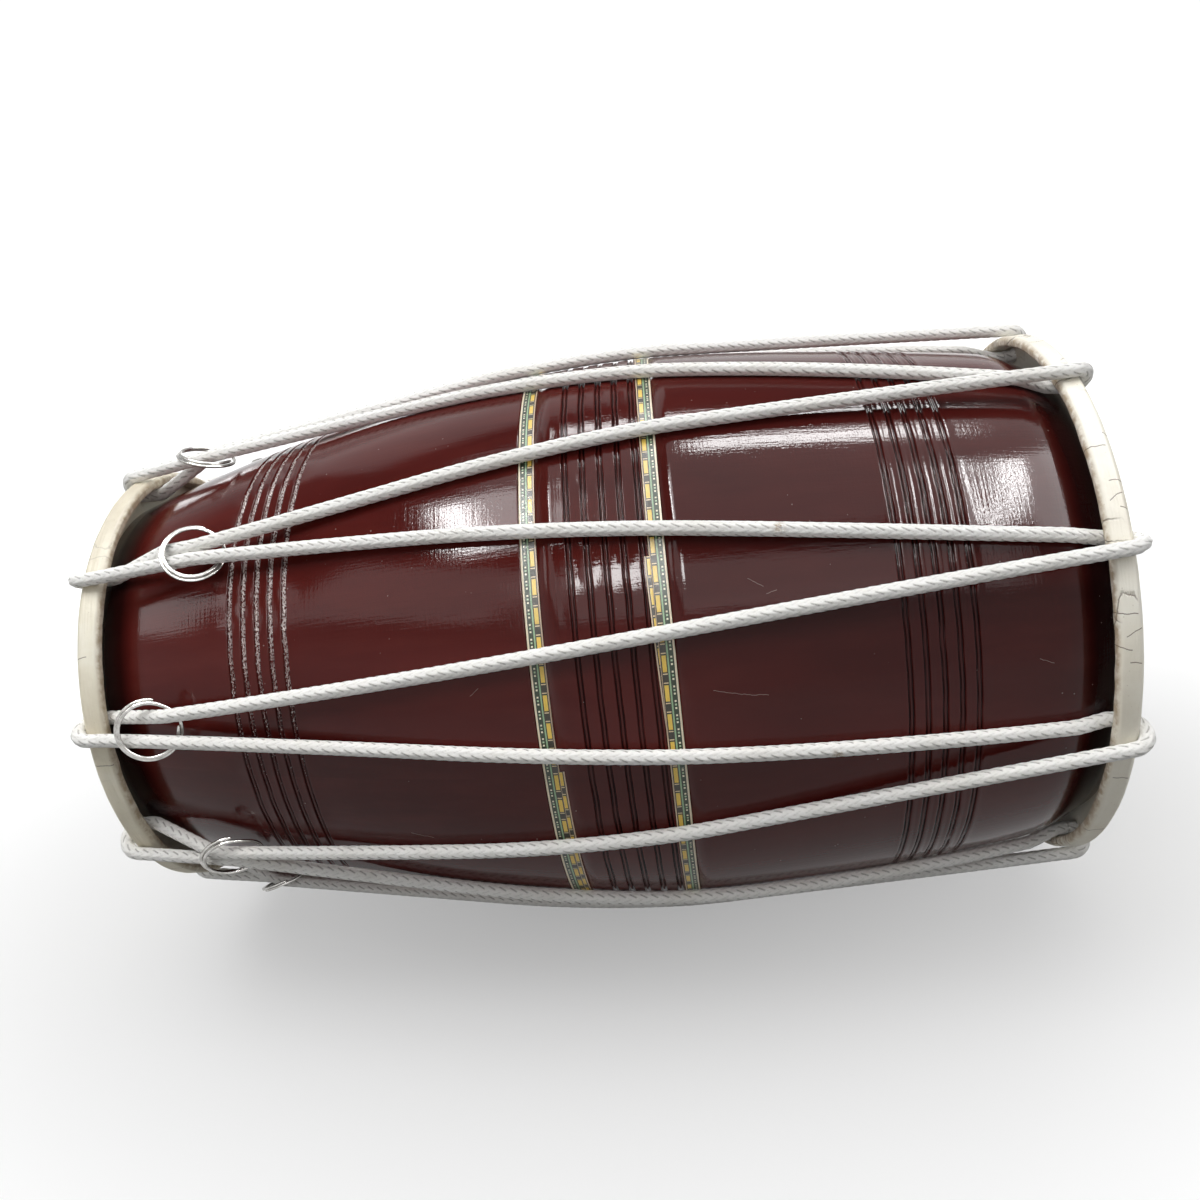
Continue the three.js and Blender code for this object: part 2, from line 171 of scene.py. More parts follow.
def softened(line, spacing, spread):
    # even points, then each is the bell-weighted mean of its neighbours; the two ends stay
    line = evenly(line, spacing)
    reach = int(math.ceil(3 * spread / spacing))
    weights = np.exp(-0.5 * (np.arange(-reach, reach + 1) * spacing / spread) ** 2)
    weights /= weights.sum()
    before = 2 * line[0] - line[reach:0:-1]
    after = 2 * line[-1] - line[-2:-reach - 2:-1]
    padded = np.vstack([before, line, after])
    return np.stack([np.convolve(padded[:, k], weights, "valid") for k in range(line.shape[1])], axis=-1)


def waves(seed, count, *axes, low=1, high=6):
    # a smooth random field, mostly from -1 to 1: a sum of sines with random whole wave numbers and
    # phases, divided by the square root of their count
    chance = np.random.default_rng(seed)
    field = 0.0
    for _ in range(count):
        numbers = chance.integers(low, high + 1, len(axes)) * chance.choice([-1, 1], len(axes))
        field = field + np.sin(sum(n * a for n, a in zip(numbers, axes)) + chance.uniform(0, 2 * np.pi))
    return field / math.sqrt(count)


def newMaterial(name):
    # a node material: itself, its tree and its main shader
    material = bpy.data.materials.new(name)
    material.use_nodes = True
    tree = material.node_tree
    return material, tree, tree.nodes["Principled BSDF"]


def feed(tree, node, inputs):
    # each input gets a number, a colour or another node's output
    for key, value in inputs.items():
        socket = node.inputs[key]
        if isinstance(value, bpy.types.NodeSocket):
            tree.links.new(value, socket)
        else:
            socket.default_value = (*value, 1) if socket.type == "RGBA" else value


def addNode(tree, kind, inputs=(), **settings):
    # a shader node with its settings and inputs
    made = tree.nodes.new("ShaderNode" + kind)
    for key, value in settings.items():
        setattr(made, key, value)
    feed(tree, made, dict(inputs))
    return made


def calc(tree, operation, *values):
    # one operation on numbers or outputs
    return addNode(tree, "Math", enumerate(values), operation=operation).outputs[0]


def product(tree, one, two):
    # one times the other
    return calc(tree, "MULTIPLY", one, two)


def blendColours(tree, factor, one, two):
    # the first colour, which turns into the second as the factor goes from 0 to 1
    return addNode(tree, "Mix", {0: factor, 6: one, 7: two}, data_type="RGBA").outputs[2]


def rangeOf(tree, value, fromLow, fromHigh, toLow=0.0, toHigh=1.0):
    # the value carried in proportion from one range to another, and held at its ends
    made = addNode(tree, "MapRange", {0: value, 1: fromLow, 2: fromHigh, 3: toLow, 4: toHigh})
    return made.outputs[0]


def noise(tree, point, scale, detail, roughness=0.5, distortion=0.0, stretch=(1, 1, 1)):
    # noise from 0 to 1, drawn out along an axis where its stretch is under 1
    mapped = addNode(tree, "Mapping", {"Vector": point, "Scale": stretch})
    made = addNode(tree, "TexNoise", {
        "Vector": mapped.outputs[0], "Scale": scale, "Detail": detail,
        "Roughness": roughness, "Distortion": distortion})
    return made.outputs[0]


def painted(tree, name):
    # an attribute that the mesh carries
    return addNode(tree, "Attribute", attribute_name=name).outputs["Fac"]


def coordinate(tree, point, axis):
    # x, y or z of a point, for 0, 1 or 2
    return addNode(tree, "SeparateXYZ", {0: point}).outputs[axis]


def objectPoint(tree):
    # the point itself, in metres
    return addNode(tree, "TexCoord").outputs["Object"]


def surfacePoint(tree):
    # the point by the piece's own two directions, along it and round it
    return addNode(tree, "UVMap", uv_map="surface").outputs[0]


def bumped(tree, shader, height, distance, strength=1.0, under=None):
    # relief as high as the distance in metres, on top of another relief where one is given
    inputs = {"Height": height, "Distance": distance, "Strength": strength}
    if under is not None:
        inputs["Normal"] = under
    bump = addNode(tree, "Bump", inputs).outputs[0]
    feed(tree, shader, {"Normal": bump})
    return bump


def thinLine(tree, point, turned, line, half):
    # 1 on a thin line along the drum, else 0: its angle is the middle's plus slope times the distance
    # from the middle and bend times that distance squared, and it wanders a little
    place, angle, reach, slope, bend = line
    along = product(tree, coordinate(tree, point, 0), 1000.0)
    fromMiddle = calc(tree, "SUBTRACT", along, place - rimToRim / 2)
    bent = product(tree, fromMiddle, calc(tree, "ADD", product(tree, fromMiddle, bend), slope))
    wander = product(tree, noise(tree, point, 260, 2, 0.6, stretch=(1, 0, 0)), 0.7)
    fromAngle = calc(tree, "SUBTRACT", turned, angle % 360)
    aside = calc(tree, "SUBTRACT", fromAngle, calc(tree, "ADD", bent, wander))
    onLine = calc(tree, "COMPARE", aside, 0.0, half)
    return product(tree, onLine, calc(tree, "COMPARE", fromMiddle, 0.0, reach))


def ramp(tree, value, stops, sharp=False):
    # colours by value, with steps between them where it is sharp
    made = addNode(tree, "ValToRGB", {0: value})
    made.color_ramp.interpolation = "CONSTANT" if sharp else "LINEAR"
    elements = made.color_ramp.elements
    while len(elements) < len(stops):
        elements.new(1.0)
    for element, (position, colour) in zip(elements, stops):
        element.position = position
        element.color = (*colour, 1)
    return made.outputs[0]


barrel = {
    "bellyRadius": 139.9, "bellyPlace": 265.0,
    "trebleDrop": 47.5, "treblePower": 1.9,
    "bassDrop": 20.1, "bassPower": 1.5,
    "shoulderDrop": 8.0, "shoulderLength": 25.0, "shoulderPower": 1.2,
    "wall": 14.0, "chamfer": 5.0, "start": -0.7,
    "drift": 0.075, "driftFade": 40,  # how uneven the turning is, and how far from the ends it fades
    "columns": 256, "plainRows": 62, "boreRows": 24,
    "wood": [(0.3, (0.30, 0.17, 0.085)), (0.6, (0.46, 0.29, 0.16)), (0.8, (0.55, 0.37, 0.22))],
}


def barrelRadius(place):
    # belly radius less a power of the share of the way to each end, and less the bass shoulder
    place = np.asarray(place, float)
    towards = place < barrel["bellyPlace"]
    reach = np.where(towards, barrel["bellyPlace"], rimToRim - barrel["bellyPlace"])
    share = np.abs(place - barrel["bellyPlace"]) / reach
    drop = np.where(towards, barrel["trebleDrop"] * share ** barrel["treblePower"],
                    barrel["bassDrop"] * share ** barrel["bassPower"])
    shoulder = np.clip(1 - (rimToRim - place) / barrel["shoulderLength"], 0, None)
    return barrel["bellyRadius"] - drop - barrel["shoulderDrop"] * shoulder ** barrel["shoulderPower"]


print("shell")
grooves = {
    "perSet": 5, "sets": [(75.0, 102.6), (230.7, 261.1), (363.6, 392.0)],
    "depth": 1.2, "uneven": 0.14, "sway": 0.12, "clear": 2.4,
    "cut": 0.82, "cutWidth": 0.34, "floor": 0.3,  # two cuts beside the middle, and a floor of that share
    "lip": 0.05, "lipPlace": 1.55, "lipWidth": 0.28, "lipUneven": 0.8,
    "bead": (0.0, 0.03, 0.15), "beadPlace": 2.3, "beadWidth": 0.95,  # soft ridges beside each set's grooves
    "wearAndGlint": (1.0, 0.08, 0.42), "floorWearAndGlint": (1.0, 0.0, 0.0),  # pale wear and painted glints on the edges and floors of each set
}
ribbon = {"width": 6.8, "thickness": 0.3, "trebleEdge": 210.5, "bassEdge": 270.3, "gap": 0.3}
ribbonSpans = {
    "ribbon_treble_side": (ribbon["trebleEdge"], ribbon["trebleEdge"] + ribbon["width"]),
    "ribbon_bass_side": (ribbon["bassEdge"] - ribbon["width"], ribbon["bassEdge"]),
}
grooveMiddles = np.concatenate([np.linspace(*ends, grooves["perSet"]) for ends in grooves["sets"]])

lacquer = {
    "dark": (0.041, 0.0045, 0.0038), "middle": (0.067, 0.0072, 0.0055), "light": (0.100, 0.0115, 0.0086),
    "deep": (0.036, 0.0052, 0.0045), "streak": (0.115, 0.020, 0.015), "groove": (0.008, 0.002, 0.002),
    "wearAndGlintColour": (0.78, 0.70, 0.67), "hoopShadeColour": (0.010, 0.003, 0.003),
    "dust": (0.45, 0.36, 0.33), "scratch": (0.50, 0.40, 0.36),
    "ior": 1.25, "smooth": 0.04, "dull": 0.09,
    "peel": 0.000030, "marks": 0.000030, "brush": 0.000042,  # heights of the three fine reliefs, in metres
    # painted shade beside the treble and the bass hoop: how strong, how far it goes, and the width of its
    # fade
    "hoopEdge": 10.6, "hoopShades": [(0.75, 13, 8), (0.85, 11, 5)],
    # fine scratches: place and angle of the middle, half the length in mm, slope and bend in degrees
    "scratches": [
        (295.0, -12.8, 11.0, 0.08, -0.002), (305.0, -31.2, 3.0, 0.25, 0.0), (311.0, -29.4, 2.2, -0.12, 0.0),
        (150.0, 14.0, 5.0, 0.1, 0.0), (186.0, -17.0, 2.0, -0.3, 0.0), (420.0, -12.0, 3.0, 0.2, 0.0),
        (128.0, 172.0, 8.0, -0.06, 0.002), (330.0, 205.0, 5.0, 0.15, 0.0)],
    "scratchHalf": 0.055, "scratchMix": 0.36,
}


def lacquerMaterial():
    # the coat's tones, then in turn the streaks, the darker bass side, the painted shade in the grooves, pale
    # wear and painted glints on their edges, the painted shade beside the hoops, dust and scratches
    material, tree, shader = newMaterial("maroon_lacquer")
    place, surface = objectPoint(tree), surfacePoint(tree)
    broad = noise(tree, place, 9, 4, 0.6, stretch=(0.35, 1, 1))
    streak = noise(tree, surface, 60, 3, 0.6, stretch=(0.25, 1, 1))
    base = ramp(tree, broad, [(0.3, lacquer["dark"]), (0.5, lacquer["middle"]), (0.72, lacquer["light"])])
    base = blendColours(tree, rangeOf(tree, streak, 0.45, 0.75, 0.0, 0.3), base, lacquer["streak"])
    # darker beyond the belly, towards the bass end
    beyond = rangeOf(tree, coordinate(tree, place, 0), 0.0, 0.07, 0.0, 0.45)
    thick = product(tree, beyond, rangeOf(tree, broad, 0.3, 0.6, 1.0, 0.6))
    base = blendColours(tree, thick, base, lacquer["deep"])
    # painted shade in the grooves' cuts
    grooveShade = rangeOf(tree, painted(tree, "grooveShade"), 0.0, 1.0, 0.0, 0.85)
    base = blendColours(tree, grooveShade, base, lacquer["groove"])
    # pale wear and painted glints on the grooves' edges and floors
    edge = painted(tree, "lip")
    wearAndGlintSpecks = noise(tree, surface, 1700, 2, 0.6, stretch=(1, 0.4, 1))
    along = noise(tree, place, 60, 3, 0.6)
    wearAndGlintBreakup = calc(tree, "SUBTRACT", calc(tree, "ADD", wearAndGlintSpecks, product(tree, edge, 0.5)), 0.42)
    wearAndGlint = product(tree, rangeOf(tree, wearAndGlintBreakup, 0.52, 0.62), rangeOf(tree, along, 0.35, 0.6, 0.4, 1.0))
    wearAndGlint = product(tree, wearAndGlint, rangeOf(tree, edge, 0.02, 0.5))
    base = blendColours(tree, product(tree, wearAndGlint, 0.9), base, lacquer["wearAndGlintColour"])
    # painted shade beside the hoops, where they shade the shell
    base = blendColours(tree, painted(tree, "shade"), base, lacquer["hoopShadeColour"])
    dust = addNode(tree, "TexVoronoi", {"Vector": place, "Scale": 150.0}, feature="F1").outputs["Distance"]
    thin = noise(tree, place, 31, 2, 0.5)
    speck = product(tree, calc(tree, "LESS_THAN", dust, 0.05), rangeOf(tree, thin, 0.5, 0.6))
    base = blendColours(tree, product(tree, speck, 0.4), base, lacquer["dust"])
    turned = product(tree, coordinate(tree, surface, 1), 180000 / math.pi / barrel["bellyRadius"])
    for scratch in lacquer["scratches"]:
        line = thinLine(tree, place, turned, scratch, lacquer["scratchHalf"])
        base = blendColours(tree, product(tree, line, lacquer["scratchMix"]), base, lacquer["scratch"])
    smear = noise(tree, surface, 28, 5, 0.65, stretch=(1, 0.5, 1))
    rough = rangeOf(tree, smear, 0.35, 0.7, lacquer["smooth"], lacquer["dull"])
    feed(tree, shader, {"Base Color": base, "Roughness": rough, "IOR": lacquer["ior"]})
    peel = noise(tree, place, 950, 2, 0.6)
    marks = noise(tree, surface, 900, 2, 0.5, stretch=(1, 0.03, 1))
    brush = noise(tree, surface, 700, 2, 0.5, stretch=(0.07, 1, 1))
    first = bumped(tree, shader, peel, lacquer["peel"])
    second = bumped(tree, shader, marks, lacquer["marks"], under=first)
    bumped(tree, shader, brush, lacquer["brush"], under=second)
    return material


def bareWoodMaterial():
    # the bore's wood, with its grain drawn out along the drum
    material, tree, shader = newMaterial("bare_wood")
    place = objectPoint(tree)
    grain = noise(tree, place, 90, 5, 0.6, 0.4, stretch=(0.06, 1, 1))
    base = ramp(tree, grain, barrel["wood"])
    feed(tree, shader, {"Base Color": base, "Roughness": 0.75})
    bumped(tree, shader, grain, 0.0004, 0.6)
    return material


def makeShell():
    # rows follow a closed outline: outside from treble to bass, bass mouth, bore back, treble mouth
    start, end = barrel["start"], rimToRim - barrel["start"]
    # rows over a groove, and over one of the last set, where the ridges beside the grooves are highest
    near = np.concatenate([np.linspace(-1.74, 1.74, 15), [-1.85, 1.85]])
    further = np.array([1.78, 2.1, 2.5, 2.9, 3.3])
    wide = np.concatenate([np.linspace(-1.5, 1.5, 13), -further, further])
    fine = np.concatenate([m + (wide if m > grooves["sets"][2][0] - 1 else near) for m in grooveMiddles])
    # two rows, 0.02 mm apart, for each side wall of the ribbons' recesses
    recess = [edge + step for a, b in ribbonSpans.values()
              for edge in (a - ribbon["gap"], b + ribbon["gap"]) for step in (-0.01, 0.01)]
    plain = np.linspace(start, end, barrel["plainRows"])
    clear = np.all(np.abs(plain[:, None] - grooveMiddles) > grooves["clear"], axis=1)
    outside = np.unique(np.concatenate([plain[clear], fine, recess]))
    outside = outside[(outside >= start) & (outside <= end)]
    bore = np.linspace(end - barrel["chamfer"], start + barrel["chamfer"], barrel["boreRows"])
    mouth = barrelRadius(np.array([end, start])) - barrel["wall"] + barrel["chamfer"]
    places = np.concatenate([outside, [end], bore, [start]])
    radii = np.concatenate([barrelRadius(outside), mouth[:1], barrelRadius(bore) - barrel["wall"], mouth[1:]])
    columns = barrel["columns"]
    angle = evenAngles(columns)
    turned = np.radians(angle)[None]
    outer = np.arange(len(places)) < len(outside)
    # each groove is two fine bell-shaped cuts with a shallower floor between them and a raised lip
    # on both sides, cut unevenly by hand
    wander = np.stack([waves(40 + k, 9, turned[0], low=3, high=60) for k in range(len(grooveMiddles))])
    offset = (places[:, None] - grooveMiddles)[:, :, None] - grooves["sway"] * wander[None]
    depth = grooves["depth"] * (1 + grooves["uneven"] * wander)[None]
    notch = np.exp(-((np.abs(offset) - grooves["cut"]) / grooves["cutWidth"]) ** 2)
    notch = depth * np.maximum(notch, grooves["floor"] * (np.abs(offset) < grooves["cut"]))
    lip = grooves["lip"] * np.exp(-((np.abs(offset) - grooves["lipPlace"]) / grooves["lipWidth"]) ** 2)
    chipped = np.stack([waves(80 + k, 12, turned[0], low=20, high=110) for k in range(len(grooveMiddles))])
    lip = lip * (1 + grooves["lipUneven"] * chipped)[None]
    beads = np.repeat(grooves["bead"], grooves["perSet"])[None, :, None]
    lip = lip + beads * np.exp(-((np.abs(offset) - grooves["beadPlace"]) / grooves["beadWidth"]) ** 2)
    cut, raised = notch.sum(axis=1) * outer[:, None], lip.sum(axis=1) * outer[:, None]
    sunk = np.zeros(len(places))
    for a, b in ribbonSpans.values():
        inside = (places > a - ribbon["gap"]) & (places < b + ribbon["gap"]) & outer
        sunk[inside] = ribbon["thickness"] + ribbon["gap"]
    # turned and sanded by hand
    drift = barrel["drift"] * waves(7, 6, turned, places[:, None] / 60, low=1, high=4)
    inland = np.clip(np.minimum(places - start, end - places) / barrel["driftFade"], 0, 1)[:, None]
    radius = radii[:, None] - cut + np.clip(raised, 0, None) - sunk[:, None] + drift * inland
    points = drumPoints(places[:, None], radius, angle[None])
    woodRows = ~outer
    around = np.linspace(0, 1, columns + 1) * 2 * np.pi * barrel["bellyRadius"] * mm
    along = np.concatenate([places, places[:1]]) * mm
    piece = gridMesh("barrel_shell", points, [lacquerMaterial(), bareWoodMaterial()],
                     across=around, along=along, wrapRows=True,
                     parts=(woodRows | np.roll(woodRows, -1)).astype(int))
    nearestSet = np.abs(places[:, None] - grooveMiddles).argmin(axis=1) // grooves["perSet"]
    wearAndGlint, floorWearAndGlint = (np.array(grooves[key])[nearestSet][:, None] for key in ("wearAndGlint", "floorWearAndGlint"))
    # painted shade in the grooves' cuts, less where their floors are pale
    addAttribute(piece, "grooveShade", np.clip(cut / grooves["depth"], 0, 1) ** 1.5 * (1 - 0.85 * floorWearAndGlint))
    # pale wear and painted glints on the edges, both strongest on the upper side, where hands reach and light
    # falls
    fromMiddle = np.abs(offset).min(axis=1)
    fade = np.clip(0.62 - 0.8 * np.sin(turned), 0.1, 1)
    wearAndGlintMask = np.maximum(wearAndGlint * np.exp(-((fromMiddle - grooves["cut"]) / 0.5) ** 2),
                      floorWearAndGlint * np.exp(-(fromMiddle / 1.35) ** 6))
    addAttribute(piece, "lip", wearAndGlintMask * outer[:, None] * fade)
    # painted shade beside each hoop, strongest close to it
    fromHoops = (places - lacquer["hoopEdge"], rimToRim - lacquer["hoopEdge"] - places)
    shade = sum(strength * np.clip((reach - fromHoop) / width, 0, 1)
                for fromHoop, (strength, reach, width) in zip(fromHoops, lacquer["hoopShades"]))
    addAttribute(piece, "shade", np.repeat(shade[:, None], columns, axis=1))
    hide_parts("shell")
    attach(piece, "drum")


makeShell()


print("ribbons")
tape = {
    "groupPeriod": 6.1, "dotPitch": 1.5, "dotHalf": 0.38,  # the dots come in threes, in mm round the drum
    "dashPeriod": 12.2, "dashLength": 6.8, "dashHalf": 0.86,
    "crossLines": (7.6, 11.3), "crossHalf": 0.22, "crossReach": 0.95,
    # each stripe from one edge: where it starts, as a share of the width, and its colour
    "stripes": {
        "edge": (0.0, (0.80, 0.70, 0.52)), "dots": (0.12, (0.012, 0.026, 0.010)),
        "line": (0.43, (0.27, 0.42, 0.25)), "dashes": (0.53, (0.02, 0.016, 0.008)),
        "inner": (0.92, (0.62, 0.47, 0.33))},
    "outerDot": (0.86, 0.80, 0.62), "middleDot": (0.42, 0.55, 0.36), "cross": (0.78, 0.62, 0.38),
    "foil": [(0.3, (0.66, 0.36, 0.05)), (0.5, (0.80, 0.55, 0.09)), (0.72, (0.84, 0.70, 0.16))],
    "soil": (0.30, 0.20, 0.12),
    "lift": 0.03, "wander": 0.07, "sink": 0.02,
    # the lapped ends: first and last angle, the share of the length that narrows, where the print starts
    "laps": {"ribbon_treble_side": (-1, 75, 0.25, 1.2221), "ribbon_bass_side": (-37, -6, 0.9, 1.2237)},
    "lapWidth": 2.3, "lapUnder": 0.25, "lapRest": 0.01, "lapThickness": 0.13,
}


def fromLine(tree, value, middle):
    # how far a value is from the middle, on either side
    return calc(tree, "ABSOLUTE", calc(tree, "SUBTRACT", value, middle))


def tapeMaterial():
    # stripes by the place across, dots, dashes and cross lines by the distance round, then the wear
    material, tree, shader = newMaterial("ribbon_tape_print")
    surface = surfacePoint(tree)
    across, around = coordinate(tree, surface, 0), product(tree, coordinate(tree, surface, 1), 1000.0)
    stripe = ramp(tree, across, tape["stripes"].values(), sharp=True)
    dots, line, dashes, inner = (tape["stripes"][part][0] for part in ("dots", "line", "dashes", "inner"))
    inGroup = calc(tree, "MODULO", around, tape["groupPeriod"])
    inDot = calc(tree, "MODULO", inGroup, tape["dotPitch"])
    aside = product(tree, fromLine(tree, across, (dots + line) / 2), ribbon["width"])
    ahead = fromLine(tree, inDot, tape["dotPitch"] / 2)
    isDot = product(tree, calc(tree, "LESS_THAN", ahead, tape["dotHalf"]),
                    calc(tree, "LESS_THAN", aside, tape["dotHalf"]))
    isDot = product(tree, isDot, calc(tree, "LESS_THAN", inGroup, 3 * tape["dotPitch"]))
    second = calc(tree, "COMPARE", inGroup, 1.5 * tape["dotPitch"], 0.5 * tape["dotPitch"])
    dot = blendColours(tree, second, tape["outerDot"], tape["middleDot"])
    colour = blendColours(tree, isDot, stripe, dot)
    inDash = calc(tree, "MODULO", around, tape["dashPeriod"])
    fromMiddle = product(tree, fromLine(tree, across, (dashes + inner) / 2), ribbon["width"])
    isDash = product(tree, calc(tree, "LESS_THAN", inDash, tape["dashLength"]),
                     calc(tree, "LESS_THAN", fromMiddle, tape["dashHalf"]))
    foil = ramp(tree, noise(tree, surface, 500, 2, stretch=(0.4, 1, 1)), tape["foil"])
    colour = blendColours(tree, isDash, colour, foil)
    for at in tape["crossLines"]:
        isLine = product(tree, calc(tree, "COMPARE", inDash, at, tape["crossHalf"]),
                         calc(tree, "LESS_THAN", fromMiddle, tape["crossReach"]))
        colour = blendColours(tree, isLine, colour, tape["cross"])
    wear = noise(tree, surface, 210, 4, 0.7)
    colour = blendColours(tree, rangeOf(tree, wear, 0.55, 0.8, 0.0, 0.45), colour, tape["soil"])
    feed(tree, shader, {"Base Color": colour, "Roughness": rangeOf(tree, wear, 0.3, 0.7, 0.22, 0.4)})
    bumped(tree, shader, wear, 0.0001, 0.35)
    return material


tapePrint = tapeMaterial()


def makeRibbon(name, mirrored):
    # rows across the tape's closed section, columns round the drum; edges lift a little
    low, high = ribbonSpans[name]
    columns = 512
    angle = evenAngles(columns)
    share = np.concatenate([np.linspace(0, 1, 12), np.linspace(1, 0, 5)])
    top = np.concatenate([np.ones(12), np.zeros(5)])
    lift = tape["lift"] * waves(21 + mirrored, 8, np.radians(angle)[None], low=4, high=40)
    edgeness = np.abs(2 * share - 1)[:, None] ** 4
    wander = tape["wander"] * waves(5 + mirrored, 6, np.radians(angle), low=2, high=12)[None]
    place = low + share[:, None] * (high - low) + wander
    radius = barrelRadius(place) - ribbon["thickness"] * (1 - top)[:, None] + lift * edgeness - tape["sink"]
    points = drumPoints(place, radius, angle[None])
    along = np.concatenate([share, share[:1]])
    around = np.linspace(0, 1, columns + 1) * 2 * np.pi * barrel["bellyRadius"] * mm
    piece = gridMesh(name + "_tape", points, tapePrint, across=around,
                     along=1 - along if mirrored else along, wrapRows=True)
    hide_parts(name)
    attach(piece, "drum")


def makeOverlap(name, mirrored):
    # the tape's other end shows beside it where the tape laps over it askew: a strip from the tape's
    # inner edge outwards, as wide as the slip there
    low, high = ribbonSpans[name]
    first, last, taper, printStart = tape["laps"][name]
    rows, columns = 120, 10
    angle = np.linspace(first, last, rows)
    share = np.linspace(0, 1, rows)
    slip = tape["lapWidth"] * np.clip((1 - share) / taper, 0.04, 1)[:, None] ** 0.8
    crosswise = np.concatenate([np.linspace(0, 1, columns), np.linspace(1, 0, columns)])
    top = (np.arange(2 * columns) < columns)[None]
    edge, way = (low, -1) if mirrored else (high, 1)
    place = edge + way * (slip * crosswise[None] - tape["lapUnder"])
    radius = barrelRadius(place) + tape["lapRest"] + tape["lapThickness"] * top
    points = drumPoints(place, radius, angle[:, None])
    along = np.radians(angle) * barrel["bellyRadius"] * mm + printStart
    ends = (points[0].mean(axis=0), points[-1].mean(axis=0))
    piece = gridMesh(name + "_lapped_end", points, tapePrint, ends=ends)
    # this grid runs round the drum by rows, so the print's two directions change places
    corners = np.zeros(len(piece.data.loops), np.int32)
    piece.data.loops.foreach_get("vertex_index", corners)
    column = np.where(corners < rows * 2 * columns, corners % (2 * columns), 0)
    row = np.clip(corners // (2 * columns), 0, rows - 1)
    across = 1 - slip[row, 0] / ribbon["width"] * (1 - crosswise[column])
    uv = np.stack([across, along[row]], axis=-1)
    piece.data.uv_layers["surface"].data.foreach_set("uv", uv.astype(np.float32).ravel())
    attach(piece, "drum")


for mirrored, name in enumerate(ribbonSpans):
    makeRibbon(name, mirrored)
    makeOverlap(name, mirrored)


print("heads")
heads = {
    "hoopWidth": 8.0, "skin": 1.0, "gap": 0.3, "proud": 2.0, "ropeRadius": 3.0,
    "treble": {
        "side": -1, "standOff": 13.04, "core": 2.7, "lead": 3.6, "seed": 311,
        "cracks": 0.35, "pasteShows": 0.0, "tan": (0.42, 0.33, 0.20),
        "tones": [(0.28, (0.60, 0.53, 0.40)), (0.5, (0.73, 0.68, 0.54)), (0.72, (0.80, 0.77, 0.66))],
        # creases across the lapped band: place and angle of the middle, half the length, slope, bend
        "creases": [(5.5, -4.4, 4.6, 0.02, 0.0), (3.0, -31.0, 2.4, -0.1, 0.0), (6.5, 40.0, 3.0, 0.1, 0.0),
                    (5.0, 118.0, 4.0, 0.05, 0.01), (4.0, 203.0, 3.2, -0.1, 0.0)],
        "loops": [-90.2, -49.3, -11.3, 24.1, 65.1, 106, 147, 187.9, 228.8]},
    "bass": {
        "side": 1, "standOff": 14.98, "core": 2.5, "lead": 3.0, "seed": 331,
        "cracks": 1.0, "pasteShows": 0.42, "tan": (0.42, 0.32, 0.20),
        "tones": [(0.28, (0.70, 0.64, 0.52)), (0.5, (0.81, 0.77, 0.66)), (0.72, (0.86, 0.84, 0.76))],
        "creases": [
            (449.8, -51.2, 4.2, -0.02, 0.01), (455.4, -53.8, 1.0, 0.2, 0.0), (454.0, -43.9, 2.9, 0.02, 0.0),
            (452.6, -41.0, 2.8, -0.22, 0.02), (454.6, -38.6, 1.5, 0.1, 0.0), (450.0, -19.8, 4.4, 0.05, 0.0),
            (452.6, -16.4, 3.2, -0.2, 0.0), (449.0, -13.6, 2.6, 0.15, 0.0), (453.0, -10.8, 2.4, 0.1, 0.0),
            (452.0, 14.0, 3.4, 0.1, 0.0), (451.0, 33.0, 4.2, -0.08, 0.0), (452.0, -88.0, 3.8, 0.05, 0.0),
            (451.0, 121.0, 4.0, -0.1, 0.01), (453.0, 196.0, 3.0, 0.1, 0.0)],
        "loops": [-107.2, -69.4, -30.7, 6, 54.8, 94.4, 134, 173.6, 213.2]},
    "wave": 0.16, "pucker": 0.07, "ragged": 0.28,  # the hide's slow waves, puckers and cut edge
    "ropeLip": (0.7, 3.3, 1.3),  # height, radius and width of the lip round each rope
    "crease": (0.16, 0.12, 0.08), "pore": (0.35, 0.27, 0.18), "behind": (0.40, 0.33, 0.24),
    # metres from the middle where the lapped band ends and the face starts, and the cracks' strength there
    "face": (0.2265, 0.2285, 0.22),
    "iron": [(0.35, (0.10, 0.09, 0.085)), (0.6, (0.16, 0.10, 0.07)), (0.8, (0.25, 0.11, 0.05))],
}
paste = {
    "radius": 45.0, "thickness": 3.0, "edge": 1.0, "slope": 16.0,
    "back": 0.28,  # how far its back lies beyond the shell's end
    "tones": [(0.3, (0.020, 0.014, 0.010)), (0.7, (0.075, 0.055, 0.040))],
}
hoopDepth = 2 * (heads["skin"] + heads["gap"]) + heads["hoopWidth"]
facetShare = math.cos(math.pi / 32)  # the plain solids are turned with this many sides
for head in (heads["treble"], heads["bass"]):
    shellEnd = barrel["start"] if head["side"] < 0 else rimToRim - barrel["start"]
    head["shellRadius"] = float(barrelRadius(shellEnd))
    head["coreInner"] = head["shellRadius"] + head["standOff"]
    head["coreOuter"] = head["coreInner"] + head["core"]
    head["lapInner"] = head["coreInner"] - heads["gap"] - heads["skin"]
    head["outer"] = head["coreOuter"] + heads["gap"] + heads["skin"]
    head["over"] = head["outer"] + heads["gap"] + heads["ropeRadius"]
    head["under"] = head["lapInner"] * facetShare - heads["gap"] - heads["ropeRadius"]


def placeAt(head, depth):
    # the place along the drum of a depth in mm from that head's rim, inwards
    return depth if head["side"] < 0 else rimToRim - depth


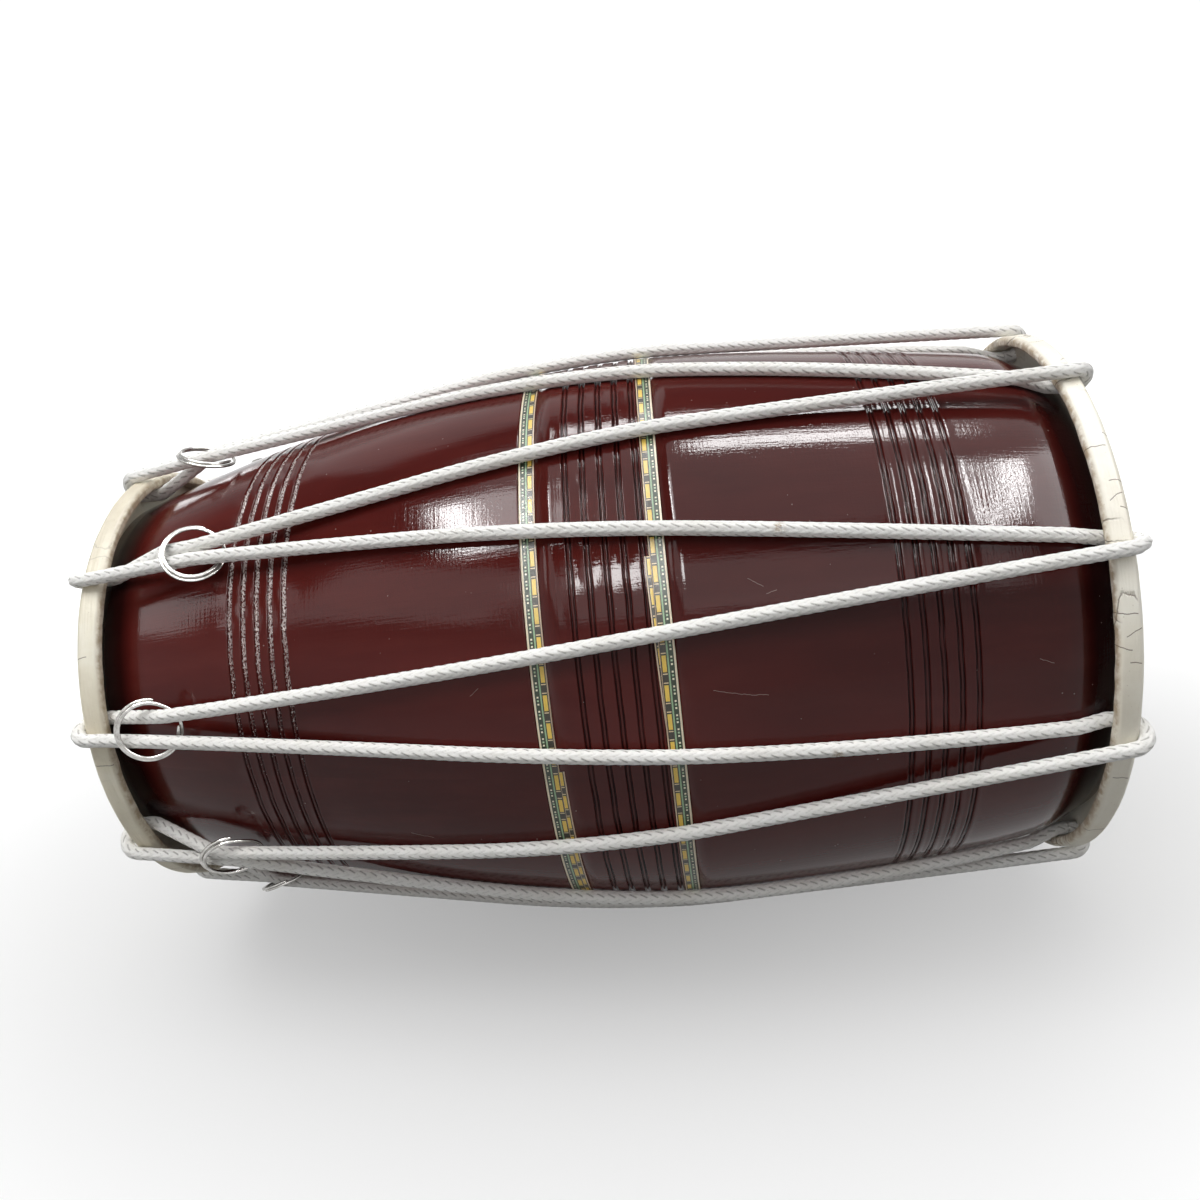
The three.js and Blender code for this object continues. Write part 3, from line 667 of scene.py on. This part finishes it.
def goatSkinMaterial(name, head):
    # broad tones, tanned edges, wobbling cracks between cells, creases, pores and the paste behind
    material, tree, shader = newMaterial(name)
    place = objectPoint(tree)
    broad = noise(tree, place, 22, 5, 0.6, 0.3)
    base = ramp(tree, broad, head["tones"])
    ragged = noise(tree, place, 260, 3, 0.6)
    tan = product(tree, painted(tree, "tan"), rangeOf(tree, ragged, 0.36, 0.6))
    base = blendColours(tree, tan, base, head["tan"])
    wobble = addNode(tree, "TexNoise", {"Vector": place, "Scale": 110.0, "Detail": 3.0}).outputs["Color"]
    reach = (0.007, 0.007, 0.007)
    bent = addNode(tree, "VectorMath", {0: wobble, 1: reach, 2: place}, operation="MULTIPLY_ADD")
    drawn = addNode(tree, "Mapping", {"Vector": bent.outputs[0], "Scale": (0.45, 1.0, 1.0)}).outputs[0]
    cells = addNode(tree, "TexVoronoi", {"Vector": drawn, "Scale": 75.0}, feature="DISTANCE_TO_EDGE")
    patch = noise(tree, place, 36, 2, 0.5)
    crack = product(tree, rangeOf(tree, cells.outputs["Distance"], 0.0, 0.035, 1.0, 0.0),
                    rangeOf(tree, patch, 0.54, 0.6, 0.0, head["cracks"]))
    # the stretched face is smoother than the lapped band
    bandEnd, faceStart, onFace = heads["face"]
    outwards = calc(tree, "ABSOLUTE", coordinate(tree, place, 0))
    crack = product(tree, crack, rangeOf(tree, outwards, bandEnd, faceStart, 1.0, onFace))
    turned = product(tree, coordinate(tree, surfacePoint(tree), 1), 360.0)
    for crease in head["creases"]:
        crack = calc(tree, "MAXIMUM", crack, thinLine(tree, place, turned, crease, 0.1))
    base = blendColours(tree, product(tree, crack, 0.85), base, heads["crease"])
    pores = addNode(tree, "TexVoronoi", {"Vector": place, "Scale": 420.0}).outputs["Distance"]
    speck = product(tree, calc(tree, "LESS_THAN", pores, 0.13), rangeOf(tree, ragged, 0.5, 0.62))
    base = blendColours(tree, product(tree, speck, 0.35), base, heads["pore"])
    base = blendColours(tree, painted(tree, "behind"), base, heads["behind"])
    feed(tree, shader, {"Base Color": base, "Roughness": rangeOf(tree, broad, 0.3, 0.7, 0.5, 0.68)})
    grain = noise(tree, place, 520, 4, 0.65)
    first = bumped(tree, shader, grain, 0.00025, 0.45)
    bumped(tree, shader, product(tree, crack, -1.0), 0.0005, 0.7, first)
    return material


def makeSkin(name, node, head):
    # the outline runs from the middle of the outer face over the rim, round the hoop and back inside
    skin, gap, proud = heads["skin"], heads["gap"], heads["proud"]
    bearing = head["shellRadius"] + gap
    fold, lapEnd = hoopDepth - skin, 2 * (skin + gap)
    lapOuter = head["lapInner"] + skin
    outline = np.array([
        [-proud, 2.0], [-proud, bearing + gap - 1], [-0.2, head["lapInner"] - skin],
        [0, head["outer"] - 2 * skin], [2 * skin, head["outer"]],
        [fold - 0.6, head["outer"]], [hoopDepth, head["outer"] - 1.7 * skin],
        [hoopDepth, lapOuter], [fold, head["lapInner"]], [lapEnd, head["lapInner"]], [lapEnd, lapOuter],
        [fold, lapOuter], [fold, head["outer"] - skin], [skin, head["outer"] - skin],
        [skin, head["lapInner"] - gap], [skin - proud, bearing - gap], [skin - proud, 2.0]])
    line = softened(outline, 0.35, 0.42)
    flat = line[:, 1] < bearing - 6
    keep = ~flat | (np.arange(len(line)) % 14 == 0)
    keep[[0, -1]] = True
    line = line[keep]
    depth, radius = line[:, :1], line[:, 1:]
    columns, seed = 288, head["seed"]
    angle = evenAngles(columns)
    turned = np.radians(angle)[None]
    # hand-lapped hide: slow waves on the band, finer puckers near its edges
    onBand = np.clip((radius - bearing - 3) / 6, 0, 1)
    wave = waves(seed, 10, turned, depth / 9, low=2, high=11) * heads["wave"]
    pucker = waves(seed + 1, 14, turned, depth / 5, low=14, high=70) * heads["pucker"]
    rear = np.clip((depth - fold + 1.2) / 1.6, 0, 1)
    ragged = waves(seed + 2, 18, turned, low=6, high=80) * heads["ragged"] * rear
    # a raised lip where each rope passes through the slope between shell and hoop
    loops = np.array(head["loops"]) - head["lead"]
    apart = (angle[None, :, None] - loops + 180) % 360 - 180
    sideways = np.radians(apart) * radius[:, :, None]
    inwards = radius[:, :, None] - head["under"]
    away = np.hypot(sideways, inwards)
    rise, ringRadius, ringWidth = heads["ropeLip"]
    lipHeight = (rise * np.exp(-((away - ringRadius) / ringWidth) ** 2)).sum(axis=2)
    lipHeight = lipHeight * (depth < 1.2) * (radius < lapOuter)
    place = depth + ragged * 0.7 - lipHeight + 0.1 * wave
    reach = radius + (wave + pucker) * onBand + ragged * 0.2
    points = drumPoints(placeAt(head, place), reach, angle[None])
    poles = [drumPoints(placeAt(head, d), 0.0, 0.0) for d in (-proud, skin - proud)]
    piece = gridMesh(name, points, goatSkinMaterial(name, head), ends=poles)
    edgeTan = np.clip(1 - np.abs(depth - hoopDepth + 0.2) / 1.1, 0, 1) * (radius > lapOuter - 2)
    edgeTan = edgeTan + 0.6 * np.exp(-((away.min(axis=2) - 3.6) / 1.4) ** 2) * (depth < 1.2)
    addAttribute(piece, "tan", np.clip(edgeTan * np.ones_like(reach), 0, 1), poles=2)
    pasteEdge = paste["radius"] + 1.5 * waves(seed + 3, 8, turned, low=2, high=9)
    seen = np.clip((pasteEdge - radius) / 7, 0, 1) * head["pasteShows"]
    addAttribute(piece, "behind", seen * np.ones_like(reach), poles=2)
    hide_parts(node)
    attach(piece, "drum")


def ironMaterial():
    # dark iron that turns brown and duller where it rusts
    material, tree, shader = newMaterial("hoop_iron")
    rust = noise(tree, objectPoint(tree), 140, 5, 0.65)
    base = ramp(tree, rust, heads["iron"])
    bright = rangeOf(tree, rust, 0.4, 0.7, 0.9, 0.2)
    feed(tree, shader, {"Base Color": base, "Metallic": bright, "Roughness": 0.6})
    bumped(tree, shader, rust, 0.0003, 0.5)
    return material


def pasteMaterial():
    # near black, with a crust of small cells
    material, tree, shader = newMaterial("tuning_paste")
    place = objectPoint(tree)
    tone = noise(tree, place, 150, 5, 0.6)
    feed(tree, shader, {"Base Color": ramp(tree, tone, paste["tones"]), "Roughness": 0.85})
    crust = addNode(tree, "TexVoronoi", {"Vector": place, "Scale": 260.0}, feature="DISTANCE_TO_EDGE")
    bumped(tree, shader, rangeOf(tree, crust.outputs["Distance"], 0.0, 0.1), 0.0004, 0.8)
    return material


hoopIron, masala = ironMaterial(), pasteMaterial()


def makeHoop(name, node, head):
    # a flat iron band: a rectangle turned round the axis, its outline in even steps
    front = heads["skin"] + heads["gap"]
    rear = front + heads["hoopWidth"]
    outline = np.array([[front, head["coreInner"] + 0.1], [rear, head["coreInner"] + 0.1],
                        [rear, head["coreOuter"] - 0.1], [front, head["coreOuter"] - 0.1],
                        [front, head["coreInner"] + 0.1]])
    line = evenly(outline, 0.6)[:-1]
    points = drumPoints(placeAt(head, line[:, :1]), line[:, 1:], evenAngles(192)[None])
    piece = gridMesh(name, points, hoopIron, wrapRows=True)
    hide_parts(node)
    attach(piece, "drum")


for side in ("treble", "bass"):
    makeSkin(side + "_goat_skin", side + "_skin", heads[side])
for side in ("treble", "bass"):
    makeHoop(side + "_iron_hoop", side + "_hoop", heads[side])


def makePaste():
    # a low dome on the inside of the skin, a quarter sine wave up from its edge, built up in rings
    head = heads["bass"]
    back = barrel["start"] - paste["back"]
    radius = np.concatenate([np.linspace(2, paste["radius"], 30), np.linspace(paste["radius"], 2, 60)])
    top = np.arange(90) >= 30
    rise = np.clip((paste["radius"] - radius) / paste["slope"], 0, 1)
    height = (paste["edge"] + (paste["thickness"] - paste["edge"]) * np.sin(rise * np.pi / 2)) * top
    height = height + 0.08 * np.sin(radius * 1.4) * top * (radius < paste["radius"] - 1)
    angle = evenAngles(96)
    lumps = 0.1 * waves(61, 10, np.radians(angle)[None], radius[:, None] / 6, low=1, high=7) * top[:, None]
    points = drumPoints(placeAt(head, back + height[:, None] + lumps), radius[:, None], angle[None])
    poles = [drumPoints(placeAt(head, back + d), 0.0, 0.0) for d in (0, paste["thickness"])]
    piece = gridMesh("masala_patch", points, masala, ends=poles)
    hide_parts("bass_tuning_paste")
    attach(piece, "drum")


makePaste()


print("rope")
lacing = {
    "turnDepth": 2.0, "joinPlace": 44.0,
    "clear": 5,  # how far from its two ends the barrel may first carry the rope
    "step": 0.56, "sides": 40, "spread": 1.3,
}
braid = {
    "core": 2.58, "cell": 5.1, "columns": 8, "strand": 0.42, "cross": 0.22,
    "faint": 0.62,  # how dark the painted shade is in the valleys of the strands that wind the other way
    "stains": [(316.4, 143.2, -39.2), (331.6, 142.0, -0.4)],  # place, radius and angle of the two brown spots
    "stainSize": 2.2,
    "cotton": [(0.3, (0.80, 0.785, 0.74)), (0.5, (0.87, 0.862, 0.83)), (0.75, (0.89, 0.885, 0.865))],
    "valleyShade": (0.30, 0.28, 0.26), "stain": (0.36, 0.25, 0.14),
}
rings = {
    "outer": 14.5, "wide": 1.65, "thick": 1.4, "pitch": 1.3, "step": 1.2, "tilt": 26.0, "sink": 0.25,
    "turns": 1.8, "crossing": 0.17, "sides": 20,
    "steel": [(0.3, (0.30, 0.29, 0.27)), (0.7, (0.56, 0.55, 0.53))],
    # each ring's place, and how far apart the two ropes are there
    "seats": [(41, 6.5), (59, 6.5), (35, 10.5), (52, 6.5), (46, 6.5), (56, 6.8), (42, 6.5), (50, 7.2),
              (45, 6.5)],
}
ropeRadius, seamDepth = heads["ropeRadius"], hoopDepth / 2
overShell = np.linspace(30, 440, 821)
ropeLine = np.stack([overShell, barrelRadius(overShell) + heads["gap"] * 0.9 + ropeRadius], axis=-1)
overTreble = np.array([lacing["turnDepth"], heads["treble"]["over"]])
underTreble = np.array([hoopDepth, heads["treble"]["under"]])
overBass = np.array([rimToRim - lacing["turnDepth"], heads["bass"]["over"]])
underBass = np.array([rimToRim - hoopDepth, heads["bass"]["under"]])


def tautBetween(start, end):
    # a taut rope leaves each hoop on the line that just touches the barrel, and follows it between
    beyond = np.flatnonzero(ropeLine[:, 0] > start[0] + lacing["clear"])
    before = np.flatnonzero(ropeLine[:, 0] < end[0] - lacing["clear"])
    slopeOut = (ropeLine[beyond, 1] - start[1]) / (ropeLine[beyond, 0] - start[0])
    slopeIn = (end[1] - ropeLine[before, 1]) / (end[0] - ropeLine[before, 0])
    first, last = beyond[np.argmax(slopeOut)], before[np.argmin(slopeIn)]
    return np.vstack([start[None], ropeLine[first:last + 1], end[None]])


overRun = tautBetween(overTreble, underBass)


def pairRadius(place):
    # how far the ropes lie from the axis at a place
    return np.interp(place, overRun[:, 0], overRun[:, 1])


def bassLoop(i):
    # the angle of a loop over the bass hoop, counted on past a whole turn
    loops = heads["bass"]["loops"]
    return loops[i % len(loops)] + 360 * (i // len(loops))


def pairAngle(i, place):
    # the middle of a pair of ropes, on the straight line from one hoop to the other
    head = heads["treble"]
    atTreble = head["loops"][i] - head["lead"] / 2
    atBass = (bassLoop(i) + bassLoop(i + 1) - heads["bass"]["lead"]) / 2
    return atTreble + (atBass - atTreble) * place / rimToRim


def rimLoop(head, angle):
    # a half ellipse from over the hoop to under it, as place, radius and angle
    share = np.linspace(0, 1, 40)
    middle = (head["over"] + head["under"]) / 2
    reach = lacing["turnDepth"] + ropeRadius + heads["gap"]
    depth = lacing["turnDepth"] - reach * np.sin(np.pi * share)
    radius = middle + (head["over"] - middle) * np.cos(np.pi * share)
    return np.stack([placeAt(head, depth), radius, angle - head["lead"] * share], axis=-1)


def withAngles(view, i, atTreble, atBass, side):
    # the angle goes evenly from the treble hoop to the ring, and from there to the bass hoop
    place, spread = rings["seats"][i]
    atRing = pairAngle(i, place) + side * math.degrees(spread / 2 / pairRadius(place))
    knots = [hoopDepth, place, rimToRim - lacing["turnDepth"]]
    return np.column_stack([view, np.interp(view[:, 0], knots, [atTreble, atRing, atBass])])


def runToBassRim(i):
    # from under the treble hoop, through the ring, over the bass hoop and round its rim
    treble, bass = heads["treble"], heads["bass"]
    join = np.array([lacing["joinPlace"], pairRadius(lacing["joinPlace"])])
    view = np.vstack([[seamDepth, underTreble[1]], underTreble, tautBetween(join, overBass)])
    view = np.vstack([view[:2], evenly(view[1:], 1.0)[1:]])
    atBass = bassLoop(i)
    run = withAngles(view, i, treble["loops"][i] - treble["lead"], atBass, -1)
    end = [rimToRim - seamDepth, bass["under"], atBass - bass["lead"]]
    return np.vstack([run, rimLoop(bass, atBass)[1:], end])


def runFromTrebleRim(i):
    # from round the treble rim, over the treble hoop, through the ring and under the bass hoop
    treble, bass = heads["treble"], heads["bass"]
    view = np.vstack([evenly(overRun, 1.0), [rimToRim - seamDepth, underBass[1]]])
    atTreble = treble["loops"][i]
    run = withAngles(view, i, atTreble, bassLoop(i + 1) - bass["lead"], 1)
    start = [seamDepth, treble["under"], atTreble - treble["lead"]]
    return np.vstack([start, rimLoop(treble, atTreble)[:0:-1], run])


def roundwards(angle):
    # the way straight round the drum at an angle
    turned = np.radians(angle)
    return np.stack([np.zeros_like(turned), np.sin(turned), -np.cos(turned)], axis=-1)


def unit(vectors):
    # the same ways, one long
    return vectors / np.linalg.norm(vectors, axis=-1, keepdims=True)


def cottonMaterial():
    # matt cotton, with painted shade in the valleys of the braid, and fine yarn along the rope
    material, tree, shader = newMaterial("cotton_rope")
    place, surface = objectPoint(tree), surfacePoint(tree)
    base = ramp(tree, noise(tree, place, 30, 4, 0.6), braid["cotton"])
    valleyShade = rangeOf(tree, painted(tree, "valleyShade"), 0.06, 0.7, 0.0, 0.85)
    base = blendColours(tree, valleyShade, base, braid["valleyShade"])
    blotch = rangeOf(tree, noise(tree, place, 700, 3, 0.6), 0.4, 0.6)
    base = blendColours(tree, product(tree, painted(tree, "stain"), blotch), base, braid["stain"])
    feed(tree, shader, {"Base Color": base, "Roughness": 0.92, "Sheen Weight": 0.25, "Sheen Roughness": 0.6})
    yarn = noise(tree, surface, 2600, 2, 0.5, stretch=(0.35, 1, 1))
    bumped(tree, shader, yarn, 0.0003, 0.6)
    return material


cotton = cottonMaterial()


def braided(name, route):
    # two families of strands wind opposite ways; a strand is a round ridge that rises over every
    # other crossing and dives under the next, and the surface is the higher of the two
    path = softened(drumPoints(*route.T), lacing["step"] * mm, lacing["spread"] * mm)
    angle = np.degrees(np.arctan2(axisZ - path[:, 2], axisY - path[:, 1]))
    ahead = unit(np.gradient(path, axis=0))
    side = roundwards(angle)
    side = unit(side - ahead * np.sum(side * ahead, axis=1, keepdims=True))
    up = np.cross(ahead, side)
    steps = np.linalg.norm(np.diff(path, axis=0), axis=1)
    along = np.concatenate([[0], np.cumsum(steps)])
    sides = lacing["sides"]
    column = np.arange(sides) * braid["columns"] / sides
    s, c = along[:, None] / (braid["cell"] * mm), column[None]
    cross = braid["cross"] * np.cos(np.pi * c)
    rightRidge, leftRidge = np.abs(np.cos(np.pi * (s - c))), np.abs(np.cos(np.pi * (s + c + 0.5)))
    right, left = braid["strand"] * np.sqrt(rightRidge) + cross, braid["strand"] * np.sqrt(leftRidge) - cross
    height = np.maximum(right, left)
    radius = (braid["core"] + height) * mm
    turned = 2 * np.pi * np.arange(sides) / sides
    points = (path[:, None] + side[:, None] * (radius * np.cos(turned))[:, :, None]
              + up[:, None] * (radius * np.sin(turned))[:, :, None])
    around = np.linspace(0, 1, sides + 1) * 2 * np.pi * ropeRadius * mm
    piece = gridMesh(name, points, cotton, across=around, along=along, ends=(path[0], path[-1]))
    # painted shade in the braid's valleys, fainter for the strands that wind the other way
    valleyShade = np.where(right > left, 1 - rightRidge, braid["faint"] * (1 - leftRidge)) ** 2
    addAttribute(piece, "valleyShade", valleyShade, poles=2)
    fromSpots = [np.linalg.norm(points - drumPoints(*spot), axis=-1) for spot in braid["stains"]]
    stain = sum(np.exp(-(away / (braid["stainSize"] * mm)) ** 2) for away in fromSpots)
    addAttribute(piece, "stain", stain, poles=2)
    return piece


for i in range(len(rings["seats"])):
    for number, route in ((2 * i + 1, runToBassRim(i)), (2 * i + 2, runFromTrebleRim(i))):
        rope = braided(f"cotton_run_{number:02d}", route)
        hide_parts(f"rope_run_{number:02d}")
        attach(rope, "drum")


print("rings")


def steelMaterial():
    # drawn steel: grey tones, and fine scratches along the wire
    material, tree, shader = newMaterial("ring_steel")
    tone = noise(tree, objectPoint(tree), 260, 3, 0.6)
    scratch = noise(tree, surfacePoint(tree), 90, 3, 0.6, stretch=(1, 12, 1))
    rough = rangeOf(tree, scratch, 0.4, 0.75, 0.12, 0.32)
    feed(tree, shader, {"Base Color": ramp(tree, tone, rings["steel"]), "Metallic": 1.0, "Roughness": rough})
    bumped(tree, shader, scratch, 0.00005, 0.4)
    return material


steel = steelMaterial()


def ringWire():
    # a flat first turn, a short climb, and a flat, slightly wider second turn on top of it
    turns = np.linspace(0, rings["turns"], 230)
    climb = np.clip((turns - (1 - rings["crossing"])) / rings["crossing"], 0, 1)
    climb = climb * climb * (3 - 2 * climb)
    middle = rings["outer"] - rings["wide"] / 2 - (1 - climb) * rings["step"]
    angle = 2 * np.pi * turns
    height = (climb - 0.5) * rings["pitch"]
    return np.stack([middle * np.cos(angle), middle * np.sin(angle), height], axis=-1), turns


def makeRing(i):
    # the coil goes over its two ropes on the treble side and under them on the bass side; its wire is
    # a superellipse carried along it
    place = rings["seats"][i][0]
    near = [place - rings["outer"], place, place + rings["outer"]]
    before, here, after = (drumPoints(at, pairRadius(at), pairAngle(i, at)) for at in near)
    along = unit(after - before)
    sideways = roundwards(pairAngle(i, place))
    sideways = unit(sideways - along * (sideways @ along))
    outward = np.cross(sideways, along)
    tilt = math.radians(rings["tilt"])
    tipped = along * math.cos(tilt) - outward * math.sin(tilt)
    basis = np.stack([tipped, sideways, np.cross(tipped, sideways)])
    middle = here - outward * rings["sink"] * mm
    wire, turns = ringWire()
    # an oval wire, drawn thin at both cut ends
    ends = np.clip(np.minimum(turns, rings["turns"] - turns) / 0.03, 0, 1)
    size = (0.35 + 0.65 * np.sqrt(ends))[:, None]
    turned = 2 * np.pi * np.arange(rings["sides"]) / rings["sides"]
    thick = rings["thick"] / 2 * np.sign(np.cos(turned)) * np.abs(np.cos(turned)) ** 0.8
    wide = rings["wide"] / 2 * np.sign(np.sin(turned)) * np.abs(np.sin(turned)) ** 0.8
    outwards = unit(wire * np.array([1, 1, 0]))
    local = (wire[:, None] + outwards[:, None] * (wide * size)[:, :, None]
             + np.array([0, 0, 1.0]) * (thick * size)[:, :, None])
    poles = middle + (wire[[0, -1]] * mm) @ basis
    lengths = turns * 2 * np.pi * rings["outer"] * mm
    piece = gridMesh(f"steel_ring_{i + 1}", middle + (local * mm) @ basis, steel, along=lengths, ends=poles)
    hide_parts(f"tension_ring_{i + 1}")
    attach(piece, f"ring_{i + 1}")


for i in range(len(rings["seats"])):
    makeRing(i)


print("studio")
studio = {
    "floorColour": (0.24, 0.24, 0.24), "radius": 4.5, "wallHeight": 3.2, "ceiling": 0.2,
    # the stage's own glow by metres from the middle, dimmer near the drum as painted shade round it, where a
    # metre along the drum counts as glowStretch
    "glow": [(0.0, 0.3), (0.14, 0.5), (0.34, 0.86), (0.7, 1.0)], "glowStretch": 0.62,
    # the wall's glow fades from the first height to the second, and the last is the share that stays
    "dusk": (1.5, 3.0, 0.4),
    # each lamp: middle, the way its first side runs, its two sides, brightness; all face the drum
    "windows": {  # these show in the gloss
        "leftWindow": ((-0.80, -0.50, 1.96), (0.06, -1.08, -0.26), (0.72, 0.12), 80.0),
        "leftHaze": ((-0.70, -0.50, 2.00), (0.06, -1.08, -0.26), (0.95, 0.44), 15.0),
        "middleWindow": ((-0.137, -1.47, 1.65), (1.0, -0.25, -0.14), (0.40, 0.30), 50.0),
        "rightWindow": ((1.525, -0.32, 1.43), (0.75, 0.66, -0.59), (1.2, 1.1), 8.5),
        "rightTube": ((1.15, -0.59, 1.69), (-0.05, -1.05, -0.36), (1.0, 0.055), 105.0),
        "leftWall": ((-1.86, -0.44, 1.19), (0.2, -0.4, 0.13), (0.46, 0.45), 4.4),
        "backStrip": ((0.30, 0.78, 2.0), (1.0, 0.0, 0.0), (1.5, 0.16), 30.0),
        "backSky": ((-0.75, 1.55, 1.75), (1.0, 0.48, 0.0), (1.3, 0.9), 1.0),
        "topStrip": ((0.61, 0.31, 2.0), (0.76, 0.17, 0.0), (0.8, 0.17), 50.0),
        "backHorizon": ((-1.0, 2.15, 0.8), (1.0, 0.46, 0.0), (1.6, 0.4), 3.0),
        "paleCeiling": ((0.9, -0.1, 2.5), (1.0, 0.0, 0.0), (4.6, 2.6), 2.5),
        "frontSky": ((0.35, -1.75, 1.55), (1.0, 0.0, 0.0), (2.3, 0.8), 2.8),
        "leftSky": ((-1.2, -1.35, 1.7), (1.0, -0.9, 0.0), (1.2, 0.8), 2.6),
    },
    "softboxes": {  # these light the drum and the floor
        "overhead": ((-0.50, -0.30, 2.1), (1.0, -0.4, 0.0), (1.8, 1.3), 5.3),
        "frontFill": ((-1.5, -1.7, 0.95), (1.0, -0.9, 0.0), (1.3, 1.0), 2.5),
        "backFill": ((0.9, 1.9, 1.1), (1.0, -0.5, 0.0), (1.4, 1.1), 3.8),
        "rightFill": ((2.1, -0.6, 0.9), (0.28, 1.0, 0.0), (1.2, 1.0), 3.2),
    },
}


def seenRay(tree):
    # 1 for a ray from the camera, from a reflection or through glass
    path = addNode(tree, "LightPath").outputs
    direct = calc(tree, "MAXIMUM", path["Is Camera Ray"], path["Is Glossy Ray"])
    return calc(tree, "MAXIMUM", direct, path["Is Transmission Ray"])


def makeStage(name, outline):
    # an outline of radius and height turned round the upright axis; it glows white for the camera, less so
    # near the drum as painted shade round it, where its own colour takes the real shadow
    material = bpy.data.materials.new(name)
    material.use_nodes = True
    tree = material.node_tree
    tree.nodes.clear()
    shrunk = addNode(tree, "Mapping", {
        "Vector": objectPoint(tree), "Scale": (studio["glowStretch"], 1, 1)}).outputs[0]
    away = addNode(tree, "VectorMath", {0: shrunk}, operation="LENGTH").outputs["Value"]
    glow = ramp(tree, away, [(at, (level, level, level)) for at, level in studio["glow"]])
    low, high, least = studio["dusk"]
    glow = product(tree, glow, rangeOf(tree, coordinate(tree, objectPoint(tree), 2), low, high, 1.0, least))
    plain = addNode(tree, "BsdfDiffuse", {"Color": studio["floorColour"]}).outputs[0]
    light = addNode(tree, "Emission", {"Color": (1, 1, 1), "Strength": glow}).outputs[0]
    both = addNode(tree, "AddShader", {0: plain, 1: light}).outputs[0]
    mixed = addNode(tree, "MixShader", {0: seenRay(tree), 1: plain, 2: both}).outputs[0]
    tree.links.new(mixed, addNode(tree, "OutputMaterial").inputs[0])
    sides = 64
    turned = np.arange(sides) * 2 * np.pi / sides
    outline = np.array(outline, float)
    points = np.stack([outline[:, :1] * np.cos(turned), outline[:, :1] * np.sin(turned),
                       outline[:, 1:] * np.ones(sides)], axis=-1)
    gridMesh(name, points, material)


def makeWorld():
    # even white light from all round
    world = bpy.data.worlds.new("studio")
    bpy.context.scene.world = world
    world.use_nodes = True
    tree = world.node_tree
    feed(tree, tree.nodes["Background"], {"Strength": studio["ceiling"], "Color": (1, 1, 1)})


def makeLamps(lamps, inGloss):
    # each lamp faces the drum's middle, and its power goes with its area
    drumMiddle = Vector((0, 0, axisZ))
    for name, (place, side, size, brightness) in lamps.items():
        data = bpy.data.lights.new(name, "AREA")
        data.shape = "RECTANGLE"
        data.size, data.size_y = size
        data.energy = brightness * math.pi * size[0] * size[1]
        lamp = bpy.data.objects.new(name, data)
        away = (Vector(place) - drumMiddle).normalized()
        sideWay = Vector(side)
        sideWay = (sideWay - away * sideWay.dot(away)).normalized()
        stand(lamp, place, sideWay, away.cross(sideWay), away)
        lamp.visible_camera = False
        lamp.visible_glossy, lamp.visible_diffuse = inGloss, not inGloss


makeStage("floor", [(0.001, 0), (0.6, 0), (1.5, 0), (studio["radius"], 0)])
makeStage("backdrop", [(studio["radius"], 0), (studio["radius"], studio["wallHeight"])])
makeWorld()
makeLamps(studio["windows"], True)
makeLamps(studio["softboxes"], False)

print("finished")
